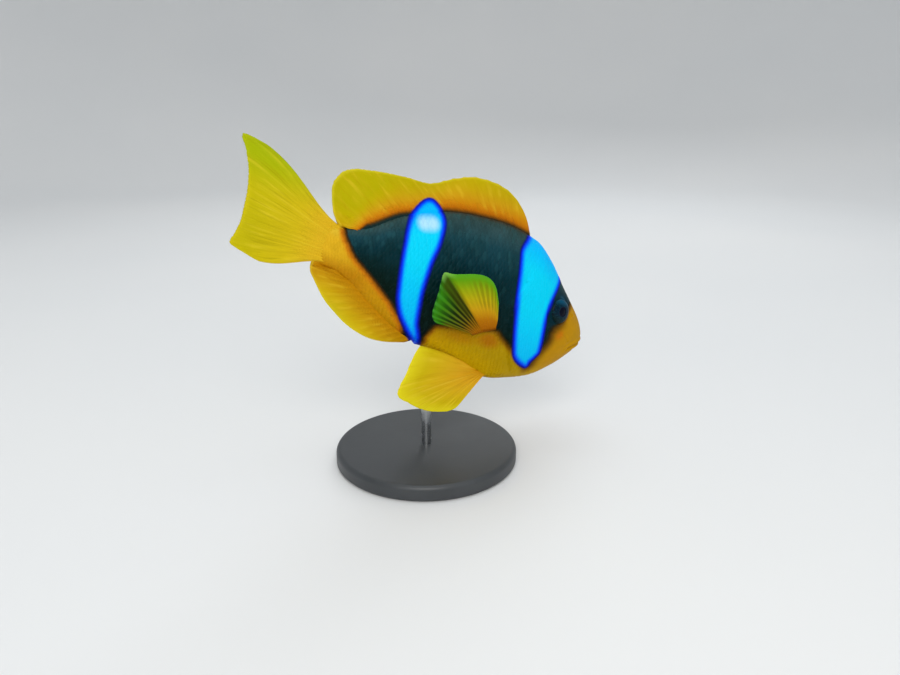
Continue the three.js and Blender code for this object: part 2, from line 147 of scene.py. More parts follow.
# Crests, or grooves below zero: height, distance from their line or centre, half width.
GILL_LIP = (0.3, 0, 3.2)
THROAT_FOLDS = [(-0.07, place, 0.36) for place in (-2.4, -4.0, -5.5, -7.0)]
CHEEK_LEDGE = (0.08, 0, 1.8)
CHEEK_GROOVE = (-0.08, 0, 0.8)
MOUTH_SLIT = (-0.7, 0, 0.24)
LIPS = (0.26, 0.9, 0.6)
LIP_CREASE = (-0.12, 2.0, 0.36)
EYE_RIM = (0.26, 0.35, 0.4)
EYE_CREASE = (-0.1, 1.3, 0.4)
NOSTRIL_HOLE = (-0.7, 0, 0.36)
NOSTRIL_RIM = (0.2, 0.72, 0.26)
BELOW_EYE_GROOVE = (-0.2, 0, 0.3)
BELOW_EYE_FOLD = (0.12, -0.75, 0.6)

GILL_SLIT_DEPTH = 0.3
GILL_SLIT_WIDTH = 1.1
GILL_HEIGHTS = (-21, -15, 9, 13)        # the gill slit starts, is full, fades and ends at these
CHEEK_HEIGHTS = (-21, -17, 8.5, 12.5)
THROAT_HEIGHTS = (-19, -15)             # the throat's folds fade out between these
CHEEK_TEETH = 5                         # on each straight piece of the cheek's line
CHEEK_TOOTH_LENGTH = 0.08
EYE_SOCKET_DEPTH = 1.9
EYE_BARE_RING = 2.2             # width of the ring round the eye that has no scales
PECTORAL_PAD_HEIGHT = 0.75      # the fleshy pads at the paired fins' roots
PECTORAL_PAD_WIDTH = 1.5
PELVIC_PAD_HEIGHT = 0.45
PELVIC_PAD_WIDTH = 1.9
VENT_HEIGHT = 0.5
VENT_WIDTH = 0.9

# Half thickness of a fin's membrane and of its rays: at the margin, and what the root adds.
MEMBRANE_MARGIN, MEMBRANE_ROOT = 0.11, 0.22
RAY_MARGIN, RAY_ROOT = 0.06, 0.12
FIN_FOOT_REACH = 1.3            # a fin's foot narrows over this height

SCALES_END = 93.5               # the last column of scales starts before this
HEAD_COAT_END = 34              # the coat is divided at these distances back
FLANK_COAT_END = 60
LATERAL_LINE_START = 38.5       # the lateral line runs between these distances back,
LATERAL_LINE_END = 80
LATERAL_LINE_GAP = (62.5, 74.5)     # apart from the stretch in the middle bar,
LATERAL_LINE_ROWS = 4.6         # and so many row distances below the back ridge
TAIL_SHEATH_START = 92.5
TAIL_SHEATH_END = 94            # the sheath's uneven height adds to this

# Scale rows and columns: distance back, exposed length, distance between rows.
SCALE_SIZES = [
    (8, 0.85, 1.0), (20, 0.95, 1.15), (32, 1.1, 1.4), (42, 1.3, 1.75), (62, 1.3, 1.8),
    (76, 1.15, 1.55), (86, 1.0, 1.2), (95, 0.8, 0.9),
]
# The scales start behind this line: height, distance back.
HEAD_SCALE_FRONT = [
    (-26, 23), (-20, 20.5), (-14, 16.5), (-8, 14.5), (-3.5, 16), (-0.5, 20.5), (3.8, 23),
    (8.2, 21), (10.8, 16.5), (14, 13.5), (20, 12.5),
]

# Outlines of the markings, seen from the side, as (back, up) points.
HEAD_BAR = [
    (34.4, 30), (34.6, 23), (35.5, 21.4), (37.1, 19.3), (38.1, 17.1), (38, 14.7), (37.3, 10.2),
    (36.4, 5.6), (35.2, 1.3), (33.5, -3.4), (31.3, -8.4), (28.8, -12.9), (27.1, -14.6),
    (25.2, -15.6), (23, -16.3), (21, -16.6), (20.1, -16), (20.3, -14.2), (19.5, -12.3),
    (18.9, -10.5), (19.7, -7.5), (20.8, -4), (21.9, 0), (22.1, 3), (21.6, 6.4), (20.1, 10.4),
    (18.8, 12.7), (17.6, 15), (17, 20), (17, 30),
]
MIDDLE_BAR = [
    (70, 20.6), (71.3, 19.3), (72.4, 17.3), (73.3, 15.2), (73.9, 13.4), (74.1, 10.4), (73.9, 7.6),
    (73.4, 3.5), (72.5, -0.9), (71, -6.2), (70, -8.9), (68.4, -11.6), (66.7, -13.7),
    (64.5, -15.7), (62.2, -17.6), (59.5, -19.5), (57, -21.6), (56.4, -20.6), (57.9, -18.4),
    (59.4, -16.2), (61, -13.9), (61.9, -11.8), (62.8, -8.8), (63.9, -4.1), (64.4, 2.4),
    (64.3, 5.6), (63.8, 9), (63.6, 12.8), (63.6, 15.6), (64.2, 18), (65.4, 19.6), (67.2, 20.7),
    (68.6, 21),
]
BLACK = [
    (10.6, 30), (10.7, 14), (11, 9.6), (11.9, 7.6), (13.1, 6), (13.8, 4.5), (14.3, 3.3),
    (15.1, 2.2), (16.2, 1.1), (17.2, -0.1), (18.2, -1.4), (18.8, -2.7), (18.8, -4.2),
    (18.5, -5.6), (18.9, -7.2), (19.8, -9.2), (20.6, -12), (21, -15), (23, -15.4),
    (26.4, -13.8), (29.4, -12), (31.1, -11.1), (33.2, -10), (35.3, -8.9), (37.5, -7.7),
    (41.5, -8.1), (46, -9.3), (52, -10.7), (56.2, -12.1), (57, -14.2), (57.5, -16.6),
    (57, -18.7), (57.4, -21), (60, -24), (62.5, -19), (65, -15.6), (67.5, -13.3), (69.5, -11.7),
    (71.4, -10.1), (73.6, -8.7),
    (77.3, -6.3), (81.3, -3.9), (85.5, -1.3), (88.1, 1.5), (89.3, 2.9), (89.9, 4.6), (89.6, 7),
    (87, 12), (85, 30),
]
MIDDLE_BAR_HIGHLIGHT_HALVES = [(69.6, 13.9), (67.2, 14.7)]  # two halves of a painted highlight, a whitish spot near its top

CAMERA_AZIMUTH = math.radians(-25)
CAMERA_ELEVATION = math.radians(18)
CAMERA_LENS = 30
CAMERA_ANCHOR = (1.5, 0, 0)             # a point at the snout, in the fish's frame
CAMERA_FROM_ANCHOR = (-139.07, -196.45, 74.35)  # from there, in millimetres along the model's axes

# ---- smooth tables and lines ---------------------------------------------------------


def smooth(rows, column, x):
    """A smooth value at x from rows that start with x, without overshoot between rows."""
    table = np.array(rows, float)
    knots, values = table[:, 0], table[:, column]
    widths = np.diff(knots)
    secants = np.diff(values) / widths
    before, after = secants[:-1], secants[1:]
    same_way = before * after > 0
    total = np.where(same_way, before + after, 1)
    inner = np.where(same_way, 2 * before * after / total, 0)
    slopes = np.concatenate([secants[:1], inner, secants[-1:]])
    x = np.clip(x, knots[0], knots[-1])
    i = np.clip(np.searchsorted(knots, x) - 1, 0, len(widths) - 1)
    t = (x - knots[i]) / widths[i]
    a, b = values[i], values[i + 1]
    start, end = slopes[i] * widths[i], slopes[i + 1] * widths[i]
    return a + t * (start + t * (3 * (b - a) - 2 * start - end + t * (2 * (a - b) + start + end)))


def step_up(low, high, x):
    """0 below low, 1 above high, and smooth between."""
    t = np.clip((x - low) / (high - low), 0, 1)
    return t * t * (3 - 2 * t)


def bump(x, width):
    return np.exp(-((x / width) ** 2))


def spline(points, steps=4, closed=False):
    """Points of a smooth curve through a list of points."""
    p = np.array(points, float)
    if closed:
        p = np.concatenate([p[-1:], p, p[:2]])
    else:
        p = np.concatenate([2 * p[:1] - p[1:2], p, 2 * p[-1:] - p[-2:-1]])
    t = np.arange(steps)[:, None] / steps
    spans = []
    for a, b, c, d in zip(p, p[1:], p[2:], p[3:]):
        bend = 2 * a - 5 * b + 4 * c - d
        spans.append(0.5 * (2 * b + (c - a) * t + bend * t**2 + (3 * b - a - 3 * c + d) * t**3))
    spans.append(spans[0][:1] if closed else p[-2:-1])
    return np.concatenate(spans)


def nearest_on(line, back, up):
    """Distance to a line, above zero on its rear side where it runs down, and the place along it."""
    gap = np.full(np.shape(back), 1e9)
    side = np.ones(np.shape(back))
    place = np.zeros(np.shape(back))
    for k, (start, end) in enumerate(zip(line, line[1:])):
        run = end - start
        share = ((back - start[0]) * run[0] + (up - start[1]) * run[1]) / (run @ run)
        share = np.clip(share, 0, 1)
        dx = back - start[0] - share * run[0]
        dy = up - start[1] - share * run[1]
        closer = dx * dx + dy * dy < gap
        gap = np.where(closer, dx * dx + dy * dy, gap)
        side = np.where(closer, np.sign(run[0] * dy - run[1] * dx), side)
        place = np.where(closer, k + share, place)
    return np.sqrt(gap) * side, place


def outline_distance(outline, back, up):
    """Distance to a closed outline, below zero inside it."""
    line = spline(outline, 4, closed=True)
    gap, _ = nearest_on(line, back, up)
    inside = np.zeros(np.shape(back), bool)
    for (x0, y0), (x1, y1) in zip(line, line[1:]):
        if y0 != y1:
            crosses = (y0 > up) != (y1 > up)
            inside ^= crosses & (back < (x1 - x0) * (up - y0) / (y1 - y0) + x0)
    return np.where(inside, -1, 1) * np.abs(gap)


def spaced(start, end, count, weight):
    """Positions from start to end, closest together where weight is largest."""
    fine = np.linspace(start, end, 4001)
    density = weight(fine)
    total = np.concatenate([[0], np.cumsum((density[1:] + density[:-1]) / 2)])
    return np.interp(np.linspace(0, total[-1], count + 1), total, fine)


def unit(vectors):
    return vectors / np.maximum(np.linalg.norm(vectors, axis=-1, keepdims=True), 1e-12)


# ---- the body's surface --------------------------------------------------------------


def root_of(back):
    """The tables run over the root of the distance, which rounds the snout."""
    return np.sqrt(np.maximum(back - SNOUT_TIP, 0))


BODY_BY_ROOT = [(float(root_of(back)), top, bottom, width) for back, top, bottom, width in BODY]


def back_line(back):
    return smooth(BODY_BY_ROOT, 1, root_of(back))


def belly_line(back):
    return smooth(BODY_BY_ROOT, 2, root_of(back))


def half_width(back):
    return smooth(BODY_BY_ROOT, 3, root_of(back))


def fish_point(back, side, up):
    return np.stack(np.broadcast_arrays(back, side, up), -1).astype(float)


def on_side(side, point):
    """A point of the left side put on the left, 1, or on the right, -1."""
    return point * np.array([1, side, 1])


def body_point(back, angle):
    """A point of the smooth body: angle 0 is the back ridge, and above 0 is the fish's left."""
    top, bottom = back_line(back), belly_line(back)
    level = bottom + WIDEST_LEVEL * (top - bottom)
    upper = np.cos(angle) >= 0
    reach = np.where(upper, top - level, level - bottom)
    roundness = np.where(upper, BACK_ROUNDNESS, BELLY_ROUNDNESS)
    across = np.sign(np.sin(angle)) * np.abs(np.sin(angle)) ** roundness
    return fish_point(back, half_width(back) * across, level + reach * np.cos(angle))


def body_normal(back, angle):
    step = 2e-3
    along = body_point(back + step, angle) - body_point(np.maximum(back - step, SNOUT_TIP), angle)
    around = body_point(back, angle + step) - body_point(back, angle - step)
    return unit(np.cross(along, around))


# ---- relief of the skin --------------------------------------------------------------

GILL_LINE = spline(GILL_EDGE)
CHEEK_LINE = spline(CHEEK_EDGE)
MOUTH_LINE = spline([(0.2, -2.9), (3.8, -4.7), (6.7, -6.3), (7.5, -7.4)])
BELOW_EYE_LINE = spline([(9.2, -4), (11.8, -2.6), (15.4, -2.2), (19.4, -1.4), (22, 1), (23, 4.6)])
NOSTRIL = (10.3, 3.8)
EYE_GAZE = unit(np.array([
    -math.sin(math.radians(EYE_FORWARD)), math.cos(math.radians(EYE_FORWARD)),
    math.sin(math.radians(EYE_UPWARD)),
]))


def crest(distance, height, place, width):
    """A crest, or a groove where its height is below zero, at a place off a line or a centre."""
    return height * bump(distance - place, width)


def between(start, full, fading, end, x):
    """1 from full to fading, and smooth down to 0 at the start and at the end."""
    return step_up(start, full, x) * (1 - step_up(fading, end, x))


def gill_relief(back, up):
    """The gill cover's raised rear edge, the slit behind it and the folds under the throat."""
    behind, _ = nearest_on(GILL_LINE, back, up)
    lip = crest(np.minimum(behind, 0), *GILL_LIP)
    slit = -GILL_SLIT_DEPTH * np.exp(-np.maximum(behind, 0) / GILL_SLIT_WIDTH)
    flap = lip + (slit - lip) * step_up(-0.12, 0.22, behind)
    throat = 1 - step_up(*THROAT_HEIGHTS, up)
    folds = sum(crest(behind, *fold) for fold in THROAT_FOLDS)
    return between(*GILL_HEIGHTS, up) * flap + throat * folds


def cheek_relief(back, up):
    """The toothed edge of the cheek bone and the groove behind it."""
    behind, place = nearest_on(CHEEK_LINE, back, up)
    behind = behind + CHEEK_TOOTH_LENGTH * np.abs((place * CHEEK_TEETH) % 1 - 0.5)
    ledge = crest(np.minimum(behind, 0), *CHEEK_LEDGE)
    groove = crest(np.maximum(behind, 0), *CHEEK_GROOVE)
    edge = ledge + (groove - ledge) * step_up(-0.12, 0.2, behind)
    return between(*CHEEK_HEIGHTS, up) * edge


def mouth_relief(back, up):
    """The slit, the lips and a crease round them, shallower towards the mouth's corner."""
    gap, place = nearest_on(MOUTH_LINE, back, up)
    gap = np.abs(gap)
    end = len(MOUTH_LINE) - 1
    fade = 1 - 0.55 * step_up(0.5 * end, end, place)
    lips = crest(gap, *LIPS) + crest(gap, *LIP_CREASE)
    return crest(gap, *MOUTH_SLIT) * (0.45 + 0.55 * fade) + lips * fade


def eye_relief(point):
    """A round dimple for the eye with a raised rim and a soft crease round it."""
    left = point * np.array([1, 0, 1]) + np.abs(point) * np.array([0, 1, 0])
    away = left - np.array(EYE_PLACE)
    depth = away @ EYE_GAZE
    outside = np.linalg.norm(away - depth[..., None] * EYE_GAZE, axis=-1) - EYE_RADIUS
    dimple = -EYE_SOCKET_DEPTH * (1 - step_up(-1, -0.05, outside))
    ring = dimple + crest(outside, *EYE_RIM) + crest(outside, *EYE_CREASE)
    return np.where(depth > -6, ring, 0)        # the head's midline, left smooth, lies deeper


def nose_relief(back, up):
    """The nostril in its rim, and the groove and fold that run below the eye."""
    radius = np.hypot(back - NOSTRIL[0], up - NOSTRIL[1])
    nostril = crest(radius, *NOSTRIL_HOLE) + crest(radius, *NOSTRIL_RIM)
    gap, _ = nearest_on(BELOW_EYE_LINE, back, up)
    return nostril + crest(gap, *BELOW_EYE_GROOVE) + crest(gap, *BELOW_EYE_FOLD)


def from_fin_feet(back, side, up):
    """Distances to the line that a pectoral fin grows from and to a pelvic fin's root."""
    pectoral, _ = nearest_on(PECTORAL_FOOT, back, up)
    pelvic = np.hypot(back - PELVIC_ROOT[0], np.abs(side) - PELVIC_ROOT[1])
    return np.abs(pectoral), np.where(up < UNDERSIDE, pelvic, np.inf)


def fin_foot_relief(point):
    """Fleshy pads that the paired fins grow from, and the small vent before the anal fin."""
    back, side, up = np.moveaxis(point, -1, 0)
    pectoral, pelvic = from_fin_feet(back, side, up)
    vent = np.where(up < UNDERSIDE, np.hypot(back - VENT_BACK, side), np.inf)
    pads = PECTORAL_PAD_HEIGHT * bump(pectoral, PECTORAL_PAD_WIDTH)
    pads = pads + PELVIC_PAD_HEIGHT * bump(pelvic, PELVIC_PAD_WIDTH)
    return pads + VENT_HEIGHT * bump(vent, VENT_WIDTH)


def relief(point):
    """How far the skin stands above the smooth body, in millimetres."""
    back, _, up = np.moveaxis(point, -1, 0)
    head = gill_relief(back, up) + cheek_relief(back, up) + mouth_relief(back, up)
    return head + nose_relief(back, up) + eye_relief(point) + fin_foot_relief(point)


def skin_point(back, angle, above=0.0):
    """A point above the finished skin, by so many millimetres."""
    base = body_point(back, angle)
    lift = relief(base) - COAT_DEPTH + above
    return base + body_normal(back, angle) * lift[..., None]


# Girth: the angle that lies so many millimetres from mid-side, down towards the belly.
GIRTH_STATIONS = np.linspace(SNOUT_TIP, BODY_END, 191)
GIRTH_ANGLES = np.linspace(0, math.pi, 361)
GIRTH_ARCS = np.linspace(-34, 34, 273)


def girth_tables():
    rings = body_point(GIRTH_STATIONS[:, None], GIRTH_ANGLES[None, :])
    steps = np.linalg.norm(np.diff(rings[..., 1:], axis=1), axis=-1)
    arcs = np.concatenate([np.zeros((len(rings), 1)), np.cumsum(steps, axis=1)], axis=1)
    arcs -= arcs[:, len(GIRTH_ANGLES) // 2][:, None]
    angles = np.array([np.interp(GIRTH_ARCS, row, GIRTH_ANGLES) for row in arcs])
    return arcs, angles


ARC_AT_ANGLE, ANGLE_AT_ARC = girth_tables()


def from_table(table, rows, columns, row, column):
    """A value between the four nearest entries of a table."""
    i = np.clip(np.interp(row, rows, np.arange(len(rows))), 0, len(rows) - 1.001)
    j = np.clip(np.interp(column, columns, np.arange(len(columns))), 0, len(columns) - 1.001)
    i0, j0 = i.astype(int), j.astype(int)
    di, dj = i - i0, j - j0
    near = table[i0, j0] * (1 - dj) + table[i0, j0 + 1] * dj
    far = table[i0 + 1, j0] * (1 - dj) + table[i0 + 1, j0 + 1] * dj
    return near * (1 - di) + far * di


def angle_at(back, arc):
    return from_table(ANGLE_AT_ARC, GIRTH_STATIONS, GIRTH_ARCS, back, arc)


def arc_at(back, angle):
    return from_table(ARC_AT_ANGLE, GIRTH_STATIONS, GIRTH_ANGLES, back, angle)


# ---- places on the OFBake map --------------------------------------------------------

BODY_CHART = (0.01, 0.01, 0.6, 0.68)    # left, bottom, width, height
ARC_ROOM = 60                           # millimetres from the back ridge to the chart's edge


def body_place(back, angle):
    """The skin's own unwrap: along the body, and round it from the back ridge."""
    left, bottom, width, height = BODY_CHART
    from_ridge = arc_at(back, np.abs(angle)) - arc_at(back, np.zeros_like(angle))
    around = 0.5 + 0.5 * np.sign(angle) * from_ridge / ARC_ROOM
    return np.stack([left + width * back / BODY_END, bottom + height * around], -1)


def fin_chart(number):
    """Fin faces are laid out in cells to the right of the body's chart and above it."""
    if number < 12:
        column, row = number % 2, number // 2
        return (0.63 + 0.185 * column, 0.01 + 0.165 * row, 0.17, 0.15)
    column, row = (number - 12) % 3, (number - 12) // 3
    return (0.01 + 0.2 * column, 0.71 + 0.145 * row, 0.185, 0.13)


def fin_place(chart, across, along):
    left, bottom, width, height = fin_chart(chart)
    return np.stack(np.broadcast_arrays(left + width * across, bottom + height * along), -1)


# ---- meshes --------------------------------------------------------------------------

ROD_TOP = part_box("stand_rod")[1].z / MM


def frame_place():
    """Zero of the fish's frame in the model's: the rod enters the belly right above the origin."""
    belly = float(belly_line(ROD_BACK))
    entry_x = -ROD_BACK * math.cos(PITCH) + belly * math.sin(PITCH)
    entry_z = ROD_BACK * math.sin(PITCH) + belly * math.cos(PITCH)
    return np.array([-entry_x, 0, ROD_TOP - ROD_DEPTH - entry_z])


FRAME_ZERO = frame_place()


def turned(points):
    """Fish coordinates turned to the model's axes, still in millimetres from the fish's own zero."""
    back, side, up = np.moveaxis(np.asarray(points, float), -1, 0)
    x = -back * math.cos(PITCH) + up * math.sin(PITCH)
    z = back * math.sin(PITCH) + up * math.cos(PITCH)
    return np.stack([x, side, z], -1)


def to_model(points):
    return (FRAME_ZERO + turned(points)) * MM


def cells(grid):
    """The four corners of each cell of a grid of numbers or of places."""
    corners = [grid[:-1, :-1], grid[1:, :-1], grid[1:, 1:], grid[:-1, 1:]]
    return np.stack(corners, 2).reshape(-1, 4, *grid.shape[2:])


def rim_of(grid):
    """The numbers all round the edge of a grid."""
    return np.concatenate([grid[0, :-1], grid[:-1, -1], grid[-1, :0:-1], grid[:0:-1, 0]])


def wrapped_faces(rings, sectors, first):
    """Quads between rings of points that close on themselves, from the point numbered first."""
    grid = first + np.arange(rings * sectors).reshape(rings, sectors)
    return cells(np.concatenate([grid, grid[:, :1]], axis=1))


def closing_fans(rings, sectors):
    """Triangles from point 0 to the first ring and from the last ring to the last point."""
    here = np.arange(sectors)
    beside = np.roll(here, -1)
    last = 1 + (rings - 1) * sectors
    end = np.full(sectors, last + sectors)
    return np.concatenate([
        np.stack([0 * here, 1 + here, 1 + beside], -1), np.stack([end, last + beside, last + here], -1)
    ])


def linked(name, data):
    """A new object in the scene."""
    thing = bpy.data.objects.new(name, data)
    bpy.context.scene.collection.objects.link(thing)
    return thing


class Patchwork:
    """Collects surfaces with their map places and vertex values, and makes one mesh of them."""

    def __init__(self):
        self.points, self.faces, self.places, self.slots = [], [], [], []
        self.values = {}
        self.count = 0

    def add(self, points, faces, places, slot=0, **values):
        """faces and places are lists of arrays, one for triangles and one for quads."""
        for corners, spots in zip(faces, places):
            self.faces.append(corners + self.count)
            self.places.append(spots)
            self.slots.append(np.full(len(corners), slot))
        self.points.append(points)
        self.count += len(points)
        for name, rows in values.items():
            self.values.setdefault(name, []).append(rows)

    def build(self, name, *materials):
        mesh = bpy.data.meshes.new(name)
        points = to_model(np.concatenate(self.points))
        # The fish's own frame is left-handed, so each face's corners run the other way here.
        self.faces = [faces[:, ::-1] for faces in self.faces]
        self.places = [places[:, ::-1] for places in self.places]
        mesh.vertices.add(len(points))
        mesh.vertices.foreach_set("co", points.ravel())
        sizes = np.concatenate([np.full(len(f), f.shape[1]) for f in self.faces])
        corners = np.concatenate([f.ravel() for f in self.faces])
        mesh.loops.add(len(corners))
        mesh.loops.foreach_set("vertex_index", corners)
        mesh.polygons.add(len(sizes))
        mesh.polygons.foreach_set("loop_start", np.cumsum(sizes) - sizes)
        mesh.polygons.foreach_set("material_index", np.concatenate(self.slots))
        mesh.polygons.foreach_set("use_smooth", np.ones(len(sizes), bool))
        mesh.uv_layers.new(name="OFBake")
        places = np.concatenate([p.reshape(-1, 2) for p in self.places])
        mesh.uv_layers["OFBake"].data.foreach_set("uv", places.ravel())
        for value, rows in self.values.items():
            attribute = mesh.attributes.new(value, "FLOAT_VECTOR", "POINT")
            attribute.data.foreach_set("vector", np.concatenate(rows).ravel())
        for material in materials:
            mesh.materials.append(material)
        mesh.update(calc_edges=True)
        return linked(name, mesh)


def mark_values(point, fin=(0.0, 0.0, 0.0), coat=(0.5, 0.0)):
    """Vertex values: the place on the fish, the distances to its markings, and more.

    fin is the number of the ray, the share along it and the height above the body; coat is a
    scale's random number for its painted glint and its gloss, and the place from its root, -1, to
    its rear edge, 1.
    """
    back, _, up = np.moveaxis(point, -1, 0)
    share = (up - belly_line(back)) / np.maximum(back_line(back) - belly_line(back), 1)
    marks = [outline_distance(outline, back, up) for outline in (HEAD_BAR, MIDDLE_BAR, BLACK)]
    values = {"fish_co": point, "mark_co": fish_point(*marks), "fin_co": fish_point(*fin),
              "coat_co": fish_point(share, *coat)}
    return {name: np.broadcast_to(rows, point.shape).reshape(-1, 3) for name, rows in values.items()}


# ---- the skin of the body ------------------------------------------------------------

BODY_RINGS = 210
BODY_SECTORS = 236              # even, so that one line of points runs down the belly


def ring_weight(root):
    """The rings crowd on the head, most of all on the lips and round the eyes."""
    back = SNOUT_TIP + root**2
    head = 1.8 * (1 - step_up(36, 42, back))
    eyes = 1.9 * bump(back - EYE_PLACE[0], 5)
    mouth = 1.4 * (1 - step_up(6, 10, back)) + 4 * np.exp(-(back - SNOUT_TIP) / 0.8)
    return (1 + head + eyes + mouth) * np.maximum(2 * root, 2)


def sector_weight(angle):
    """The sectors crowd at the eyes and a little at the mouth, on both sides alike."""
    off_ridge = np.abs((angle + math.pi) % (2 * math.pi) - math.pi)
    eyes = 1.3 * bump(off_ridge - math.radians(60), math.radians(15))
    mouth = 0.5 * bump(off_ridge - math.radians(105), math.radians(22))
    return 1 + eyes + mouth


def add_body(skin):
    """The body as rings between a point at the snout and one inside the tail fin."""
    backs = SNOUT_TIP + spaced(0, root_of(BODY_END), BODY_RINGS, ring_weight)[1:] ** 2
    half = spaced(0, math.pi, BODY_SECTORS // 2, sector_weight)
    angles = np.concatenate([-half[:0:-1], half])
    back, angle = np.meshgrid(backs, angles, indexing="ij")
    mouth_depth = -relief(fish_point(SNOUT_TIP, 0, BODY[0][1]))
    snout = fish_point(SNOUT_TIP + COAT_DEPTH + mouth_depth, 0, BODY[0][1])
    tail = fish_point(BODY_END + 0.3, 0, (BODY[-1][1] + BODY[-1][2]) / 2)
    points, bases = [
        np.concatenate([snout[None], place(back[:, 1:], angle[:, :-1]).reshape(-1, 3), tail[None]])
        for place in (skin_point, body_point)
    ]
    spots = body_place(back, angle)
    first, last = spots[0], spots[-1]
    tips = body_place(np.full_like(angles, SNOUT_TIP), angles)[:-1]
    fan_places = np.concatenate([
        np.stack([tips, first[:-1], first[1:]], 1), np.stack([last[:-1], last[1:], last[:-1]], 1)
    ])
    faces = [closing_fans(len(backs), BODY_SECTORS), wrapped_faces(len(backs), BODY_SECTORS, 1)]
    skin.add(points, faces, [fan_places, cells(spots)], 0, **mark_values(bases))


# ---- fins ----------------------------------------------------------------------------


def height_above_body(point):
    """How far a point of the midline stands outside the body's outline, roughly square to it."""
    back, _, up = np.moveaxis(point, -1, 0)
    step = 0.05
    over, under = up - back_line(back), belly_line(back) - up
    back_slope = (back_line(back + step) - back_line(back - step)) / (2 * step)
    belly_slope = (belly_line(back + step) - belly_line(back - step)) / (2 * step)
    over = over / np.sqrt(1 + back_slope**2)
    under = under / np.sqrt(1 + belly_slope**2)
    return np.maximum(over, under)


def midline_surface(rays, edge):
    """A fin along the back (edge 1) or the belly (edge -1), its rays leaning backwards."""
    first, last = rays[0][0], rays[-1][0]

    def surface(across, along):
        back = first + across * (last - first)
        line = back_line(back) if edge > 0 else belly_line(back)
        line = line - edge * 0.4 * step_up(0.88, 1, across)
        reach = along * (smooth(rays, 1, back) + MIDLINE_FIN_ROOT) - MIDLINE_FIN_ROOT
        lean = np.radians(smooth(rays, 2, back))
        wave = 0.5 * along**2 * np.sin(across * 15 + along * 2)
        return fish_point(back + reach * np.sin(lean), wave, line + edge * reach * np.cos(lean))

    return surface


def tail_surface(across, along):
    off = 2 * across - 1
    waist = np.where(off < 0, TAIL_WAIST_LOWER, TAIL_WAIST_UPPER)
    bend = TAIL_FULLNESS * along * (1 - along) - waist * (1 - along) ** 3
    rise = np.radians(smooth(TAIL_RAYS, 2, across) + off * np.abs(off) * bend)
    reach = along * smooth(TAIL_RAYS, 1, across)
    height = TAIL_ROOT_UP + TAIL_ROOT_HALF_HEIGHT * off
    wave = 0.35 * along**2 * np.sin(across * 11)
    side = wave - TAIL_SWING * along**2
    return fish_point(TAIL_ROOT_BACK + reach * np.cos(rise), side, height + reach * np.sin(rise))


def ray_point(root, reach, rise, spread):
    """The end point of a ray that leaves root, rising and spreading to the fish's left, in degrees."""
    rise, spread = np.radians(rise), np.radians(spread)
    level = reach * np.cos(spread)
    return root + fish_point(level * np.cos(rise), reach * np.sin(spread), level * np.sin(rise))


def pectoral_surface(side):
    def surface(across, along):
        drop = PECTORAL_HALF_ROOT * (2 * across - 1)
        root_back = PECTORAL_ROOT[0] + drop * math.sin(PECTORAL_TILT)
        lift = PECTORAL_LIFT * (1 - (1 - along) ** 6) - PECTORAL_SINK
        up = PECTORAL_ROOT[1] - drop * math.cos(PECTORAL_TILT)
        root = fish_point(root_back, half_width(root_back) + lift, up)
        length, rise, spread = [smooth(PECTORAL_RAYS, column, across) for column in (1, 2, 3)]
        return on_side(side, ray_point(root, along * length, rise, spread))

    return surface


def pelvic_surface(rays, side):
    def surface(across, along):
        back = PELVIC_ROOT[0] + PELVIC_HALF_ROOT * (2 * across - 1)
        root = fish_point(back, PELVIC_ROOT[1], PELVIC_ROOT[2] + PELVIC_SINK)
        length, rise, spread = [smooth(rays, column, across) for column in (1, 2, 3)]
        bow = PELVIC_BOW * across**3 * (1 - along)
        return on_side(side, ray_point(root, along * (length + PELVIC_SINK), rise + bow, spread))

    return surface


def ray_ridge(ray, along, soft):
    """1 on a ray and 0 on the membrane between; a soft ray splits twice on its way out."""
    off = np.abs(ray % 1 - 0.5)
    first = soft * 0.24 * step_up(0.3, 1, along)
    second = soft * 0.12 * step_up(0.6, 1, along)
    off = np.abs(np.abs(off - first) - second)
    return bump(off, 0.19 - 0.07 * along * soft)


